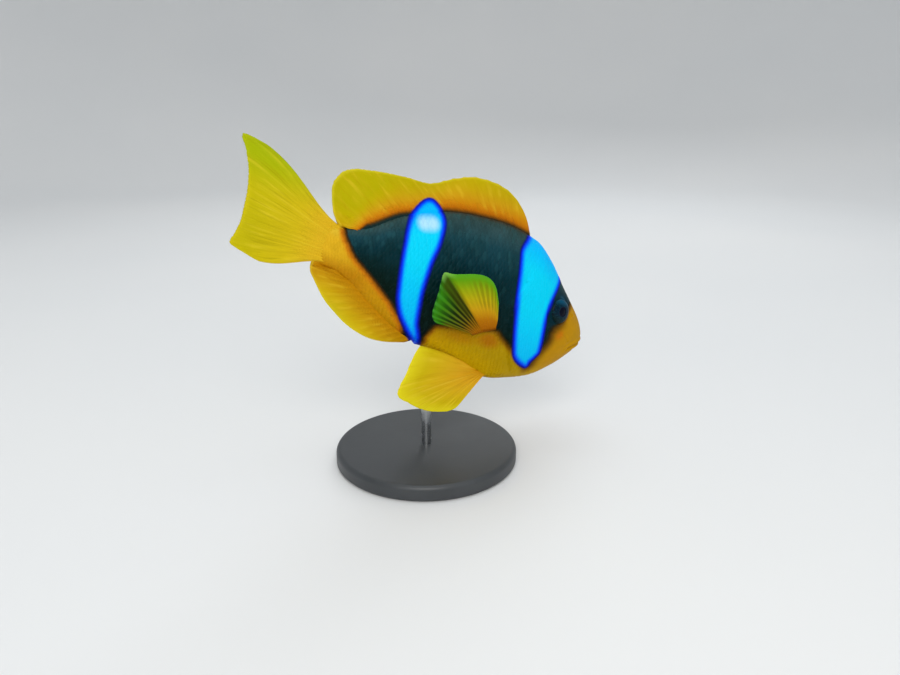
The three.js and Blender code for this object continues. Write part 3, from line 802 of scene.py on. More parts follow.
@dataclass
class Fin:
    """A fin blade. across is a share of the fan, and along a share of the way out."""

    name: str
    surface: object             # the point of its middle surface at across and along
    ray_number: object          # the rays before across
    columns_per_ray: int
    rows: int
    chart: int                  # the number of its cell on the OFBake map; the next is its other face's
    slot: int                   # of the skin's materials
    stout: float = 1.0
    notch: float = 0.008        # depth of the notches in the margin, as a share of the rays
    flare: float = 0.5          # how far its foot widens on each face, in millimetres
    on_midline: bool = False
    softness: object = np.ones_like     # 0 where the rays are spines, which don't split

    def total_rays(self):
        return float(self.ray_number(1.0))

    def ridge(self, across, along):
        return ray_ridge(self.ray_number(across), along, self.softness(across))

    def sheet(self, across, along):
        """The blade's middle surface, its margin notched a little between the rays."""
        dip = 1 - self.ridge(across, np.full_like(along, 0.9))
        return self.surface(across, along * (1 - self.notch * dip * along**3))

    def half_thickness(self, across, along, height):
        membrane = MEMBRANE_MARGIN + MEMBRANE_ROOT * (1 - along) ** 2
        ray = (RAY_MARGIN + RAY_ROOT * (1 - along)) * self.ridge(across, along)
        foot = self.flare * np.exp(-np.maximum(height, 0) / FIN_FOOT_REACH)
        margin = np.sqrt(np.clip((1 - along) / 0.03, 0.08, 1))
        ends = np.sqrt(np.clip(np.minimum(across, 1 - across) * self.total_rays() / 0.35, 0.1, 1))
        return ((membrane + ray) * self.stout + foot) * margin * ends

    def heights(self, point, along):
        if self.on_midline:
            return height_above_body(point)
        return along * PAIRED_FIN_LENGTH - PECTORAL_SINK

    def faces_at(self, across, along, above=0.0, face=1):
        """Points on one face of the blade, by so many millimetres above it."""
        step = 1e-3
        point = self.sheet(across, along)
        over = self.surface(np.minimum(across + step, 1), along)
        over = over - self.surface(np.maximum(across - step, 0), along)
        out = self.surface(across, np.minimum(along + step, 1))
        out = out - self.surface(across, np.maximum(along - step, 0))
        normal = unit(np.cross(over, out))
        half = self.half_thickness(across, along, self.heights(point, along)) + above
        return point + face * normal * half[..., None]

    def add_to(self, skin):
        columns = int(round(self.total_rays() * self.columns_per_ray))
        rows = np.append(np.linspace(0, 1, self.rows)[:-1] ** 0.9, [0.985, 1.0])
        across, along = np.meshgrid(np.linspace(0, 1, columns + 1), rows, indexing="ij")
        middle = self.sheet(across, along)
        fin_values = (self.ray_number(across), along, self.heights(middle, along))
        points = np.stack([self.faces_at(across, along, face=face) for face in (1, -1)])
        values = mark_values(np.stack([middle, middle]), fin=fin_values)
        faces, spots = self.blade_faces(*across.shape)
        skin.add(points.reshape(-1, 3), [faces], [spots], self.slot, **values)

    def blade_faces(self, columns, rows):
        """Quads of both faces and of the edge all round, with their places on the map."""
        size = columns * rows
        grid = np.arange(size).reshape(columns, rows)
        front = cells(grid)
        rear = front[:, [0, 3, 2, 1]] + size
        rim = rim_of(grid.T)
        beside = np.roll(rim, -1)
        edge = np.stack([rim, rim + size, beside + size, beside], -1)
        edge_places = np.stack([rim, rim, beside, beside], -1)
        across, along = np.meshgrid(np.linspace(0, 1, columns), np.linspace(0, 1, rows), indexing="ij")
        charts = [fin_place(self.chart + face, across, along).reshape(-1, 2) for face in (0, 1)]
        places = np.concatenate(charts)[np.concatenate([front, rear, edge_places])]
        return np.concatenate([front, rear, edge]), places


DORSAL_SPINES, DORSAL_SOFT_RAYS = 10, 16
DORSAL_SPINY_SHARE = (SOFT_DORSAL_START - DORSAL_RAYS[0][0]) / (DORSAL_RAYS[-1][0] - DORSAL_RAYS[0][0])


def dorsal_ray_number(across):
    numbers = (0, DORSAL_SPINES, DORSAL_SPINES + DORSAL_SOFT_RAYS)
    return np.interp(across, (0, DORSAL_SPINY_SHARE, 1), numbers)


def dorsal_softness(across):
    return step_up(DORSAL_SPINY_SHARE - 0.02, DORSAL_SPINY_SHARE + 0.02, across)


def evenly(count):
    return lambda across: across * count


FIN_SLOT, TAIL_SLOT, PECTORAL_SLOT, PELVIC_SLOT = 1, 2, 3, 4


def all_fins():
    """The numbers are columns of points to a ray, rows of points and the first cell on the map."""
    dorsal, anal = midline_surface(DORSAL_RAYS, 1), midline_surface(ANAL_RAYS, -1)
    fins = [
        Fin("dorsal", dorsal, dorsal_ray_number, 7, 26, 0, FIN_SLOT, notch=0.012, flare=0.8,
            on_midline=True, softness=dorsal_softness),
        Fin("anal", anal, evenly(15), 7, 22, 2, FIN_SLOT, flare=0.8, on_midline=True),
        Fin("tail", tail_surface, evenly(15), 10, 32, 4, TAIL_SLOT, stout=1.1, flare=0.3,
            on_midline=True),
    ]
    for name, side, chart in (("pectoral_right", -1, 6), ("pectoral_left", 1, 8)):
        fins.append(Fin(name, pectoral_surface(side), evenly(17), 7, 28, chart, PECTORAL_SLOT, stout=0.8))
    for name, side, chart, rays in (
        ("pelvic_right", -1, 10, PELVIC_SPREAD_RAYS), ("pelvic_left", 1, 12, PELVIC_FOLDED_RAYS)
    ):
        surface = pelvic_surface(rays, side)
        fins.append(Fin(name, surface, evenly(6), 13, 26, chart, PELVIC_SLOT, stout=0.95))
    return fins


# ---- scales --------------------------------------------------------------------------

SCALE_SIDE = 6                  # points along each side of a scale's square grid
SCALE_PATCH = 0.0015            # half the width of a scale's patch on the map
SCALE_RIM = 0.18                # the rear edge stands this far above the skin
SCALE_THICKNESS = 0.1
SCALE_SUNK = 0.08               # and the root lies this far below it
SCALE_LENGTH = 1.12             # half a scale's length, in exposed lengths
SCALE_BREADTH = 1.08            # half its breadth, in distances between rows
SCALE_JITTER = np.array([0.03, 0.03, 0.08])     # of its place back and across, and of its size
scale_random = np.random.default_rng(11)


def scale_template():
    """A disc on a square grid, its rim again below, and a point that closes it underneath."""
    line = np.linspace(-1, 1, SCALE_SIDE)
    p, q = np.meshgrid(line, line, indexing="ij")
    x, y = (p * np.sqrt(1 - q**2 / 2)).ravel(), (q * np.sqrt(1 - p**2 / 2)).ravel()
    grid = np.arange(SCALE_SIDE**2).reshape(SCALE_SIDE, SCALE_SIDE)
    rim = rim_of(grid)
    under = SCALE_SIDE**2 + np.arange(len(rim))
    band = np.stack([rim, np.roll(rim, -1), np.roll(under, -1), under], -1)
    fan = np.stack([under, np.roll(under, -1), np.full_like(under, SCALE_SIDE**2 + len(rim))], -1)
    x, y = np.concatenate([x, x[rim], [0]]), np.concatenate([y, y[rim], [0]])
    below = np.concatenate([np.zeros(SCALE_SIDE**2), np.ones(len(rim) + 1)])
    return x, y, below, np.concatenate([cells(grid), band]), fan


SCALE_X, SCALE_Y, SCALE_BELOW, SCALE_QUADS, SCALE_FANS = scale_template()


def scale_heights(rim, sunk=SCALE_SUNK):
    """Height of each scale's points: sunk at the root, raised and crowned at the rear edge."""
    share = (SCALE_X + 1) / 2
    height = rim[:, None] * share - np.reshape(sunk, (-1, 1)) * (1 - share)
    crown = 0.05 * (1 - SCALE_Y**2) - 0.04 * (SCALE_X**2 + SCALE_Y**2) ** 3
    tilt = scale_random.normal(0, 0.01, (len(rim), 2))
    height = height + crown * rim[:, None] / SCALE_RIM
    height = height + tilt[:, :1] * SCALE_X + tilt[:, 1:] * SCALE_Y
    return height - SCALE_THICKNESS * SCALE_BELOW


def add_scales(coat, points, root_place, values, flip):
    """Adds scales whose points are an array of (scale, template point, 3)."""
    start = (np.arange(len(points)) * len(SCALE_X))[:, None, None]
    quads = (start + SCALE_QUADS[None]).reshape(-1, 4)
    fans = (start + SCALE_FANS[None]).reshape(-1, 3)
    if flip:
        quads, fans = quads[:, ::-1], fans[:, ::-1]
    patch = np.stack([SCALE_X, -SCALE_Y if flip else SCALE_Y], -1) * SCALE_PATCH
    place = (root_place[:, None] + patch[None]).reshape(-1, 2)
    coat.add(points.reshape(-1, 3), [quads, fans], [place[quads], place[fans]], 0, **values)


def exposed_length(back):
    return smooth(SCALE_SIZES, 1, back)


def row_distance(back):
    return smooth(SCALE_SIZES, 2, back)


def scale_columns():
    """Distances back of the columns of scales, each half an exposed length behind the last."""
    columns = [HEAD_SCALE_FRONT[-1][1] - 1.0]
    while columns[-1] < SCALES_END:
        columns.append(columns[-1] + float(exposed_length(columns[-1])) / 2)
    return columns


def scale_roots():
    """Middles of the left side's scales, as distance back and number of the row from mid-side."""
    roots = []
    for number, back in enumerate(scale_columns()):
        gap = float(row_distance(back))
        ridge, keel = [float(arc_at(np.array(back), np.array(angle))) for angle in (0, math.pi)]
        rows = np.arange(-40, 41) * 2 + number % 2
        arcs = rows * gap
        rows = rows[(arcs > ridge + 0.3 * gap) & (arcs < keel - 0.2 * gap)]
        roots += [(back, row) for row in rows]
    return np.array(roots, float)


def bare_of_scales(point):
    """True on the snout, round the eye, along the gill slit, on the lips and at the fins' roots."""
    back, side, up = np.moveaxis(point, -1, 0)
    naked = back < smooth(HEAD_SCALE_FRONT, 1, up)
    eye = np.linalg.norm(point - np.array(EYE_PLACE), axis=-1) < EYE_RADIUS + EYE_BARE_RING
    behind, _ = nearest_on(GILL_LINE, back, up)
    slit = (behind > -0.75) & (behind < 0.95) & (up < 10.5)
    pectoral, pelvic = from_fin_feet(back, side, up)
    dorsal_root = (side < 0.75) & (up > 0) & (back > DORSAL_RAYS[0][0])
    anal_root = (side < 0.6) & (up < 0) & (back > ANAL_RAYS[0][0])
    pads = (pectoral < PECTORAL_PAD_WIDTH) | (pelvic < PELVIC_PAD_WIDTH)
    return naked | eye | slit | pads | dorsal_root | anal_root


def scale_boldness(back, up):
    """The scales are flatter in the pale bars and on the yellow parts than on the black."""
    to_bar = np.minimum(outline_distance(HEAD_BAR, back, up), outline_distance(MIDDLE_BAR, back, up))
    to_black = outline_distance(BLACK, back, up)
    return 0.2 + 0.8 * step_up(-0.5, 1.0, to_bar) * (1 - step_up(-0.5, 1.0, to_black))


def add_to_body(part, side, back, angle, height, roots, glint_and_gloss, rim):
    """Adds scales to one side of the body; roots are the back and angle of each scale's root."""
    angle = side * angle
    values = mark_values(body_point(back, angle), coat=(glint_and_gloss, rim))
    place = body_place(roots[0], side * roots[1])
    add_scales(part, skin_point(back, angle, height), place, values, side < 0)


def body_scales(part, side, chosen):
    """Adds the scales of one side whose roots are in the chosen stretch of the body."""
    back, row = scale_roots().T
    middle = body_point(back, angle_at(back, row * row_distance(back)))
    kept = chosen(back) & ~bare_of_scales(middle)
    row, up = row[kept, None], middle[kept, 2]
    jitter = scale_random.normal(0, 1, (len(row), 3)) * SCALE_JITTER
    root = back[kept] + jitter[:, 0]
    length = SCALE_LENGTH * exposed_length(root) * (1 + 0.6 * jitter[:, 2])
    gap = row_distance(root)[:, None]
    back = root[:, None] + SCALE_X * length[:, None]
    arc = row * row_distance(back) + (SCALE_Y * SCALE_BREADTH + jitter[:, 1:2]) * gap
    # The scales lie flatter on the head, and flattest next to the bare snout and cheek.
    rim = SCALE_RIM * (1 - 0.35 * (1 - step_up(28, 36, root))) * (1 + jitter[:, 2])
    on_head = 1 - step_up(0, 4, root - smooth(HEAD_SCALE_FRONT, 1, up))
    rim = rim * scale_boldness(root, up) * (1 - 0.8 * on_head)
    height = scale_heights(rim, SCALE_SUNK + 0.2 * on_head)
    # A random number for each scale, for its painted glint and its gloss.
    glint_and_gloss = scale_random.random(len(row))[:, None]
    roots = root, angle_at(root, (row * gap)[:, 0])
    add_to_body(part, side, back, angle_at(back, arc), height, roots, glint_and_gloss, SCALE_X)


def lateral_line(part, side, chosen):
    """Small raised tubes on the scales of the lateral line, which follows the back."""
    backs = np.array(scale_columns()[::2])
    in_bar = (backs > LATERAL_LINE_GAP[0]) & (backs < LATERAL_LINE_GAP[1])
    on_line = (backs > LATERAL_LINE_START) & (backs < LATERAL_LINE_END) & ~in_bar
    backs = backs[on_line & chosen(backs)]
    ridge = arc_at(backs, np.zeros_like(backs))
    depth = LATERAL_LINE_ROWS * row_distance(backs) * (1 - 0.35 * step_up(62, 82, backs))
    back = backs[:, None] + 0.5 + SCALE_X * 0.42
    angle = angle_at(back, (ridge + depth)[:, None] + SCALE_Y * 0.17)
    dome = 0.2 + 0.1 * np.sqrt(np.clip(1 - SCALE_X**2 - SCALE_Y**2, 0, 1)) - 0.3 * SCALE_BELOW
    roots = backs, angle_at(backs, ridge + depth)
    add_to_body(part, side, back, angle, np.broadcast_to(dome, back.shape), roots, 0.95, 0.0)


# Scaly sheaths at the fins' bases: material, share of the fan, height above the body in mm.
SHEATHS = {
    "dorsal": ("fish_fins", 0.12, 0.97, 2.6), "anal": ("fish_fins", 0.12, 0.97, 2.4),
    "tail": ("fish_tail", 0.02, 0.98, 7.0),
}
SHEATH_LENGTH = 0.8
SHEATH_ROW = 0.95
SHEATH_RIM = 0.08


def sheath_scales(part, fin, start, end, height):
    """Rows of small scales on both faces of a fin's base, their rear edges towards its margin."""
    middle = fin.surface(np.linspace(0, 1, 41), np.full(41, 0.25))
    width = np.linalg.norm(np.diff(middle, axis=0), axis=-1).sum()
    root, tip = fin.surface(np.array([0.6, 0.6]), np.array([0.0, 1.0]))
    reach = np.linalg.norm(tip - root)
    columns = int(width / SHEATH_ROW)
    rows = int(0.6 * reach / SHEATH_LENGTH * 2)
    column, row = np.meshgrid(np.arange(columns), np.arange(rows), indexing="ij")
    across = ((column + 0.5 * (row % 2) + 0.25) / columns).ravel()
    along = (row * SHEATH_LENGTH / 2 / reach).ravel()
    spot = fin.surface(across, along)
    rise = height_above_body(spot)
    limit = height * (0.75 + 0.25 * np.cos(across * 40))
    if fin.name == "tail":
        shown = (spot[:, 0] > TAIL_SHEATH_START) & (spot[:, 0] < TAIL_SHEATH_END + limit)
    else:
        shown = (rise > -0.3) & (rise < limit)
    shown &= (across > start) & (across < end)
    across, along = across[shown], along[shown]
    wide = np.clip(across[:, None] + SCALE_Y * 0.56 * SHEATH_ROW / width, 0, 1)
    out = np.clip(along[:, None] + SCALE_X * 1.1 * SHEATH_LENGTH / reach, 0, 1)
    bases = fin.surface(wide, out)
    fin_values = (fin.ray_number(wide), out, height_above_body(bases))
    for face in (1, -1):
        glint_and_gloss = scale_random.random(len(across))[:, None]
        points = fin.faces_at(wide, out, scale_heights(np.full(len(across), SHEATH_RIM)), face)
        values = mark_values(bases, fin=fin_values, coat=(glint_and_gloss, SCALE_X))
        place = fin_place(fin.chart + (face < 0), across, along)
        add_scales(part, points, place, values, face > 0)


# ---- eyes ----------------------------------------------------------------------------

PUPIL_RADIUS = 1.6
EYE_DEPTH = 3.4                 # how far its rear reaches into the head
EYE_RINGS = 26
EYE_SECTORS = 72


def eye_profile(radius):
    """Height of the eye above its plane: a domed iris, a lip round the pupil, and the lens."""
    dome = EYE_BULGE * np.sqrt(np.clip(1 - (radius / EYE_RADIUS) ** 2, 0, 1))
    lip = 0.05 * bump(radius - PUPIL_RADIUS, 0.16)
    lens = -0.16 * (1 - step_up(PUPIL_RADIUS - 0.28, PUPIL_RADIUS, radius))
    bulge = 0.16 * np.clip(1 - (radius / PUPIL_RADIUS) ** 2, 0, 1)
    return dome - 0.06 + lip + lens + bulge


def eye(side, material):
    """One eye as a closed turned shape, set in its socket."""
    outer = np.linspace(0, EYE_RADIUS - 0.02, EYE_RINGS + 1)[1:]
    sunk = np.linspace(0.1, 1.45, 8)        # angles from the rim down into the socket
    radii = np.concatenate([outer, EYE_RADIUS * np.cos(sunk)])
    heights = np.concatenate([eye_profile(outer), -EYE_DEPTH * np.sin(sunk)])
    turn = np.linspace(0, 2 * math.pi, EYE_SECTORS, endpoint=False)[:, None]
    first = unit(np.cross(EYE_GAZE, np.array([0, 0, 1.0])))
    rings = (np.cos(turn) * first + np.sin(turn) * np.cross(EYE_GAZE, first))[None]
    rings = rings * radii[:, None, None] + heights[:, None, None] * EYE_GAZE
    front, rear = eye_profile(np.array(0.0)) * EYE_GAZE, -EYE_DEPTH * EYE_GAZE
    local = np.concatenate([front[None], rings.reshape(-1, 3), rear[None]])
    quads = wrapped_faces(len(radii), EYE_SECTORS, 1)
    fans = closing_fans(len(radii), EYE_SECTORS)
    if side > 0:
        quads, fans = quads[:, ::-1], fans[:, ::-1]
    radius = np.concatenate([[0], np.repeat(radii, EYE_SECTORS), [0]])
    angle = np.concatenate([[0], np.tile(turn[:, 0], len(radii)), [0]])
    # On the map the front is a disc, and all that is sunk lies on one circle round it.
    spread = radius.copy()
    spread[-1 - len(sunk) * EYE_SECTORS:] = EYE_RADIUS + 0.3
    circle = np.stack([np.cos(angle), np.sin(angle)], -1)
    flat = circle * (spread / (EYE_RADIUS + 0.4) * 0.45)[:, None] + 0.5
    patch = Patchwork()
    patch.add(on_side(side, local + np.array(EYE_PLACE)), [fans, quads], [flat[fans], flat[quads]],
              eye_co=np.column_stack([radius, circle]))
    return patch.build("eyeball_left" if side > 0 else "eyeball_right", material)


# ---- materials -----------------------------------------------------------------------


def rgb(red, green, blue):
    """A colour given in the usual 0 to 255, as the shaders' linear numbers."""
    def linear(value):
        value /= 255
        return value / 12.92 if value <= 0.04045 else ((value + 0.055) / 1.055) ** 2.4

    return (linear(red), linear(green), linear(blue), 1.0)


class Value:
    """A number, a place or a colour: a node's output, or one that is the same all over."""

    def __init__(self, look, source):
        self.look, self.source = look, source

    def math(self, operation, *others):
        return self.look.made("ShaderNodeMath", self, *others, operation=operation)

    def __add__(self, other):
        return self.math("ADD", other)

    def __sub__(self, other):
        return self.math("SUBTRACT", other)

    def __mul__(self, other):
        return self.math("MULTIPLY", other)

    def __rsub__(self, number):
        return Value(self.look, number) - self

    def vector_math(self, operation, *others, output=0):
        return self.look.made("ShaderNodeVectorMath", self, *others, output=output, operation=operation)

    def rise(self, low, high, to_low=0, to_high=1):
        """A smooth change from to_low to to_high as this goes from low to high."""
        span = (self, low, high, to_low, to_high)
        return self.look.made("ShaderNodeMapRange", *span, interpolation_type="SMOOTHSTEP")

    def ramp(self, *stops):
        """A colour for each value, from (value, red, green, blue) stops in rising order."""
        low, high = stops[0][0], stops[-1][0]
        share = self.look.made("ShaderNodeMapRange", self, low, high)
        node = self.look.node("ShaderNodeValToRGB", share)
        elements = node.color_ramp.elements
        while len(elements) < len(stops):
            elements.new(0.5)
        for element, (place, *shade) in zip(elements, stops):
            element.position = (place - low) / (high - low)
            element.color = rgb(*shade)
        return Value(self.look, node.outputs[0])

    def to(self, other, share, way="MIX"):
        """This colour changed by a share to another colour or (red, green, blue)."""
        node = self.look.node("ShaderNodeMix", share, data_type="RGBA", blend_type=way)
        self.look.put(self, node.inputs[6])
        self.look.put(rgb(*other) if isinstance(other, tuple) else other, node.inputs[7])
        return Value(self.look, node.outputs[2])

    def noise(self, scale, detail=2):
        """Noise from 0 to 1; scale is in features per unit of this place."""
        node = self.look.node("ShaderNodeTexNoise", self)
        node.inputs["Scale"].default_value = scale
        node.inputs["Detail"].default_value = detail
        return Value(self.look, node.outputs[0])

    def away(self, centre, size):
        """Distance of this place from a centre, in shares of a size along each axis."""
        shares = self.vector_math("SUBTRACT", centre).vector_math("DIVIDE", size)
        return shares.vector_math("LENGTH", output=1)


class Look:
    """A new material, and the nodes that make it."""

    def __init__(self, name):
        self.material = bpy.data.materials.new(name)
        self.material.use_nodes = True
        self.tree = self.material.node_tree
        self.shader = self.tree.nodes["Principled BSDF"]

    def put(self, value, socket):
        if isinstance(value, Value):
            value = value.source
        if isinstance(value, bpy.types.NodeSocket):
            self.tree.links.new(value, socket)
        else:
            socket.default_value = value

    def node(self, kind, *values, **settings):
        """A new node with the values in its first inputs."""
        node = self.tree.nodes.new(kind)
        for name, setting in settings.items():
            setattr(node, name, setting)
        for value, socket in zip(values, node.inputs):
            self.put(value, socket)
        return node

    def made(self, kind, *values, output=0, **settings):
        return Value(self, self.node(kind, *values, **settings).outputs[output])

    def vector(self, name):
        return self.made("ShaderNodeAttribute", output="Vector", attribute_name=name)

    def parts(self, name):
        split = self.node("ShaderNodeSeparateXYZ", self.vector(name))
        return [Value(self, output) for output in split.outputs]

    def place(self):
        return self.made("ShaderNodeTexCoord", output="Object")

    def joined(self, *values):
        return self.made("ShaderNodeCombineXYZ", *values)

    def bump(self, height, distance, strength):
        """A bump of so many millimetres."""
        node = self.node("ShaderNodeBump")
        node.inputs["Strength"].default_value = strength
        node.inputs["Distance"].default_value = distance * MM
        self.put(height, node.inputs["Height"])
        self.put(node.outputs[0], self.shader.inputs["Normal"])

    def finish(self, colour, roughness, **constants):
        """Sets colour and roughness, and constants such as Coat_Weight on the shader itself."""
        self.put(colour, self.shader.inputs["Base Color"])
        self.put(roughness, self.shader.inputs["Roughness"])
        for name, value in constants.items():
            self.shader.inputs[name.replace("_", " ")].default_value = value
        return self.material


def black_colour(share, glint_and_gloss, back, fish):
    """The dark flank: blue-black at mid-side and green-black below, and grey-teal along the back as
    painted light from above and painted sheen.
    """
    # Lighter towards the back: painted light from above and painted sheen.
    colour = share.ramp(
        (0, 0, 12, 6), (0.3, 0, 20, 14), (0.48, 0, 34, 38), (0.66, 0, 44, 54), (0.82, 20, 62, 72),
        (0.95, 50, 76, 78), (1, 54, 70, 62),
    )
    colour = colour.to((0, 26, 18), fish.noise(0.16, 3).rise(0.35, 0.7) * 0.35)
    # Painted highlights: scales picked at random are lighter teal, more strongly towards the back, as
    # glints off their gloss.
    colour = colour.to((44, 92, 98), glint_and_gloss.rise(0.6, 1) * share.rise(0.35, 0.9, 0.04, 0.22))
    return colour.to((78, 46, 14), share.rise(0.975, 1) * back.rise(33, 36, 0, 0.6))


# Orange patches on the cheek and under the pectoral fin, those under the fin darker, partly the fish's
# orange and partly painted shade under the fin: centre, size, strength, colour.
ORANGE_AND_SHADE_PATCHES = [
    ((14.6, 7.5, -3), (3.4, 8, 3), 0.75, (206, 104, 8)),
    ((38.6, 8.6, -11.4), (6, 9, 4), 0.85, (166, 96, 0)),
    ((47, 7.4, -13.2), (8, 8, 3.4), 0.5, (176, 108, 0)),
]


def yellow_colour(share, back, up, fish):
    """The yellow parts: olive on the face and belly, golden on the tail stalk, with painted light on the
    stalk's top and along the keel.
    """
    colour = back.ramp(
        (0, 190, 142, 6), (14, 190, 136, 2), (22, 172, 140, 0), (45, 176, 142, 0), (62, 186, 132, 2),
        (76, 198, 142, 8), (86, 214, 162, 24), (95, 218, 174, 30),
    )
    colour = colour.to((180, 116, 0), up.rise(-2, -7) * back.rise(74, 84, 0, 0.8))
    # Painted light: the top of the tail stalk lighter, as lit from above.
    colour = colour.to((226, 194, 54), up.rise(1, 4.5) * back.rise(87, 90, 0, 0.8))
    # Orange patches; those under the pectoral fin are darker, partly painted shade under the fin.
    for (patch_back, patch_side, patch_up), size, strength, shade in ORANGE_AND_SHADE_PATCHES:
        for side in (-patch_side, patch_side):
            away = fish.away((patch_back, side, patch_up), size)
            colour = colour.to(shade, away.rise(0.2, 1, strength, 0))
    colour = colour.to((150, 118, 2), fish.noise(0.5, 4).rise(0.3, 0.75) * 0.22)
    # Painted light: the underside from the chin to the vent lighter, as if lit from below.
    return colour.to((206, 164, 0), share.rise(0.2, 0) * back.rise(56, 62, 0.7, 0) * back.rise(6, 14))


def bar_colour(distance, share, soft_edge):
    """A bar's turquoise middle, its blue rim and the navy line outside it."""
    middle = share.ramp(
        (0, 0, 184, 248), (0.3, 0, 194, 246), (0.55, 0, 206, 242), (0.8, 0, 206, 242), (1, 0, 176, 250)
    )
    rim = distance.ramp(
        (-2, 0, 170, 250), (-1.1, 0, 120, 255), (-0.45, 0, 50, 235), (0.05, 4, 18, 150),
        (0.6, 2, 12, 60),
    )
    return middle.to(rim, distance.rise(-2 * soft_edge, -0.7 * soft_edge))


def painted_face_shade_and_glints(colour, fish, to_black):
    """Painted shade as a dark mask round the eye, and painted highlights: a blue patch above it and a
    green one below.
    """
    dark_side = to_black.rise(-0.7, 0.1, 1, 0)
    eye_back, _, eye_up = EYE_PLACE
    # Painted shade round the eye, only on the dark side.
    painted_eye_shade = fish.away((eye_back, 0, eye_up), (7.5, 14, 8.5)).rise(0.6, 1.1, 0.85, 0)
    colour = colour.to((0, 34, 46), painted_eye_shade * dark_side)
    # Painted highlights: blue above the eye, green below.
    for up, shade in ((7.4, (0, 78, 106)), (0.4, (0, 64, 58))):
        patch = fish.away((17, 0, up), (2.8, 14, 2.2)).rise(0.2, 1, 0.9, 0)
        colour = colour.to(shade, patch * dark_side)
    return colour


def marked_colour(look):
    """The body's colours, from each point's distances to the markings in millimetres."""
    fish = look.vector("fish_co")
    back, _, up = look.parts("fish_co")
    to_head_bar, to_middle_bar, to_black = look.parts("mark_co")
    share, glint_and_gloss, _ = look.parts("coat_co")
    soft = back.rise(20, 24, 1, 0) * up.rise(-1, 4, 1, 0.3)     # a wider change on the face
    ragged = (fish.noise(0.9, 3) - 0.5) * 0.5
    to_black = (to_black + ragged) * (1 - soft * 0.5) - soft * 0.3
    orange = to_black.ramp(
        (-0.7, 12, 22, 14), (-0.1, 60, 38, 6), (0.4, 150, 86, 6), (1, 196, 116, 8), (2.4, 212, 142, 16)
    )
    olive = to_black.ramp(
        (-0.7, 8, 22, 12), (-0.1, 44, 34, 2), (0.5, 100, 66, 0), (1.3, 142, 98, 0), (2.4, 164, 122, 0)
    )
    border = orange.to(olive, back.rise(54, 62, 1, 0))
    colour = black_colour(share, glint_and_gloss, back, fish).to(border, to_black.rise(-0.9, -0.3))
    colour = colour.to(yellow_colour(share, back, up, fish), to_black.rise(0.7, 2.4))
    colour = painted_face_shade_and_glints(colour, fish, to_black)
    for distance, soft_edge in ((to_head_bar, 1.25), (to_middle_bar, 1)):
        colour = colour.to(bar_colour(distance, share, soft_edge), distance.rise(0.1, 0.75, 1, 0))
    # Painted highlight: a whitish spot near the middle bar's top, in two halves.
    first, second = [fish.away((back, 0, up), (2.7, 30, 2.8)) for back, up in MIDDLE_BAR_HIGHLIGHT_HALVES]
    spot = first.math("SMOOTH_MIN", second, 0.9)
    return colour.to((188, 228, 246), spot.rise(0.2, 1.05, 0.8, 0))


def skin_material():
    look = Look("fish_skin")
    fish = look.vector("fish_co")
    pores = fish.noise(3.2, 3)
    look.bump(pores + fish.noise(1.1), 0.04, 0.4)
    roughness = pores.rise(0.3, 0.75, 0.46, 0.62)
    return look.finish(marked_colour(look), roughness, Specular_IOR_Level=0.05)


def scale_material():
    """As the skin, with fine growth rings, a thin painted highlight along each scale's rear edge and
    painted shade at its root, under the scale in front.
    """
    look = Look("fish_scales")
    _, glint_and_gloss, rim = look.parts("coat_co")
    # Painted highlight: a thin pale rear edge on each scale.
    colour = marked_colour(look).to((150, 170, 160), rim.rise(0.6, 1, 0, 0.1), "SOFT_LIGHT")
    # Painted shade: each scale darker at its root, which lies under the scale in front.
    colour = colour.to((60, 60, 60), rim.rise(-0.1, 0.5, 0.05, 0), "MULTIPLY")
    rings = (rim * 34).math("SINE")
    look.bump(rings * 0.25 + look.vector("fish_co").noise(3), 0.02, 0.5)
    return look.finish(colour, glint_and_gloss.rise(0, 1, 0.42, 0.56), Specular_IOR_Level=0.06)


def ray_light(ray, along):
    """1 on a ray and 0 between rays, and broad light and fine dark streaks along the rays."""
    line = (ray.math("FRACT") - 0.5).math("ABSOLUTE").rise(0.08, 0.34, 1, 0)
    broad, fine = [
        ray.look.joined(ray * fineness, along * 1.6).noise(1.3, 3) for fineness in (0.9, 3.2)
    ]
    return line, broad, broad.rise(0.45, 0.7) * (line + 0.25), fine


def finish_fin(look, colour, along, grain, roughness=0.52):
    """Adds the cross joints of the rays and a fine grain along them, and the fins' slight gloss."""
    look.bump((along * 190).math("SINE") * 0.15 + grain, 0.04, 0.5)
    return look.finish(colour, roughness, Specular_IOR_Level=0.05)


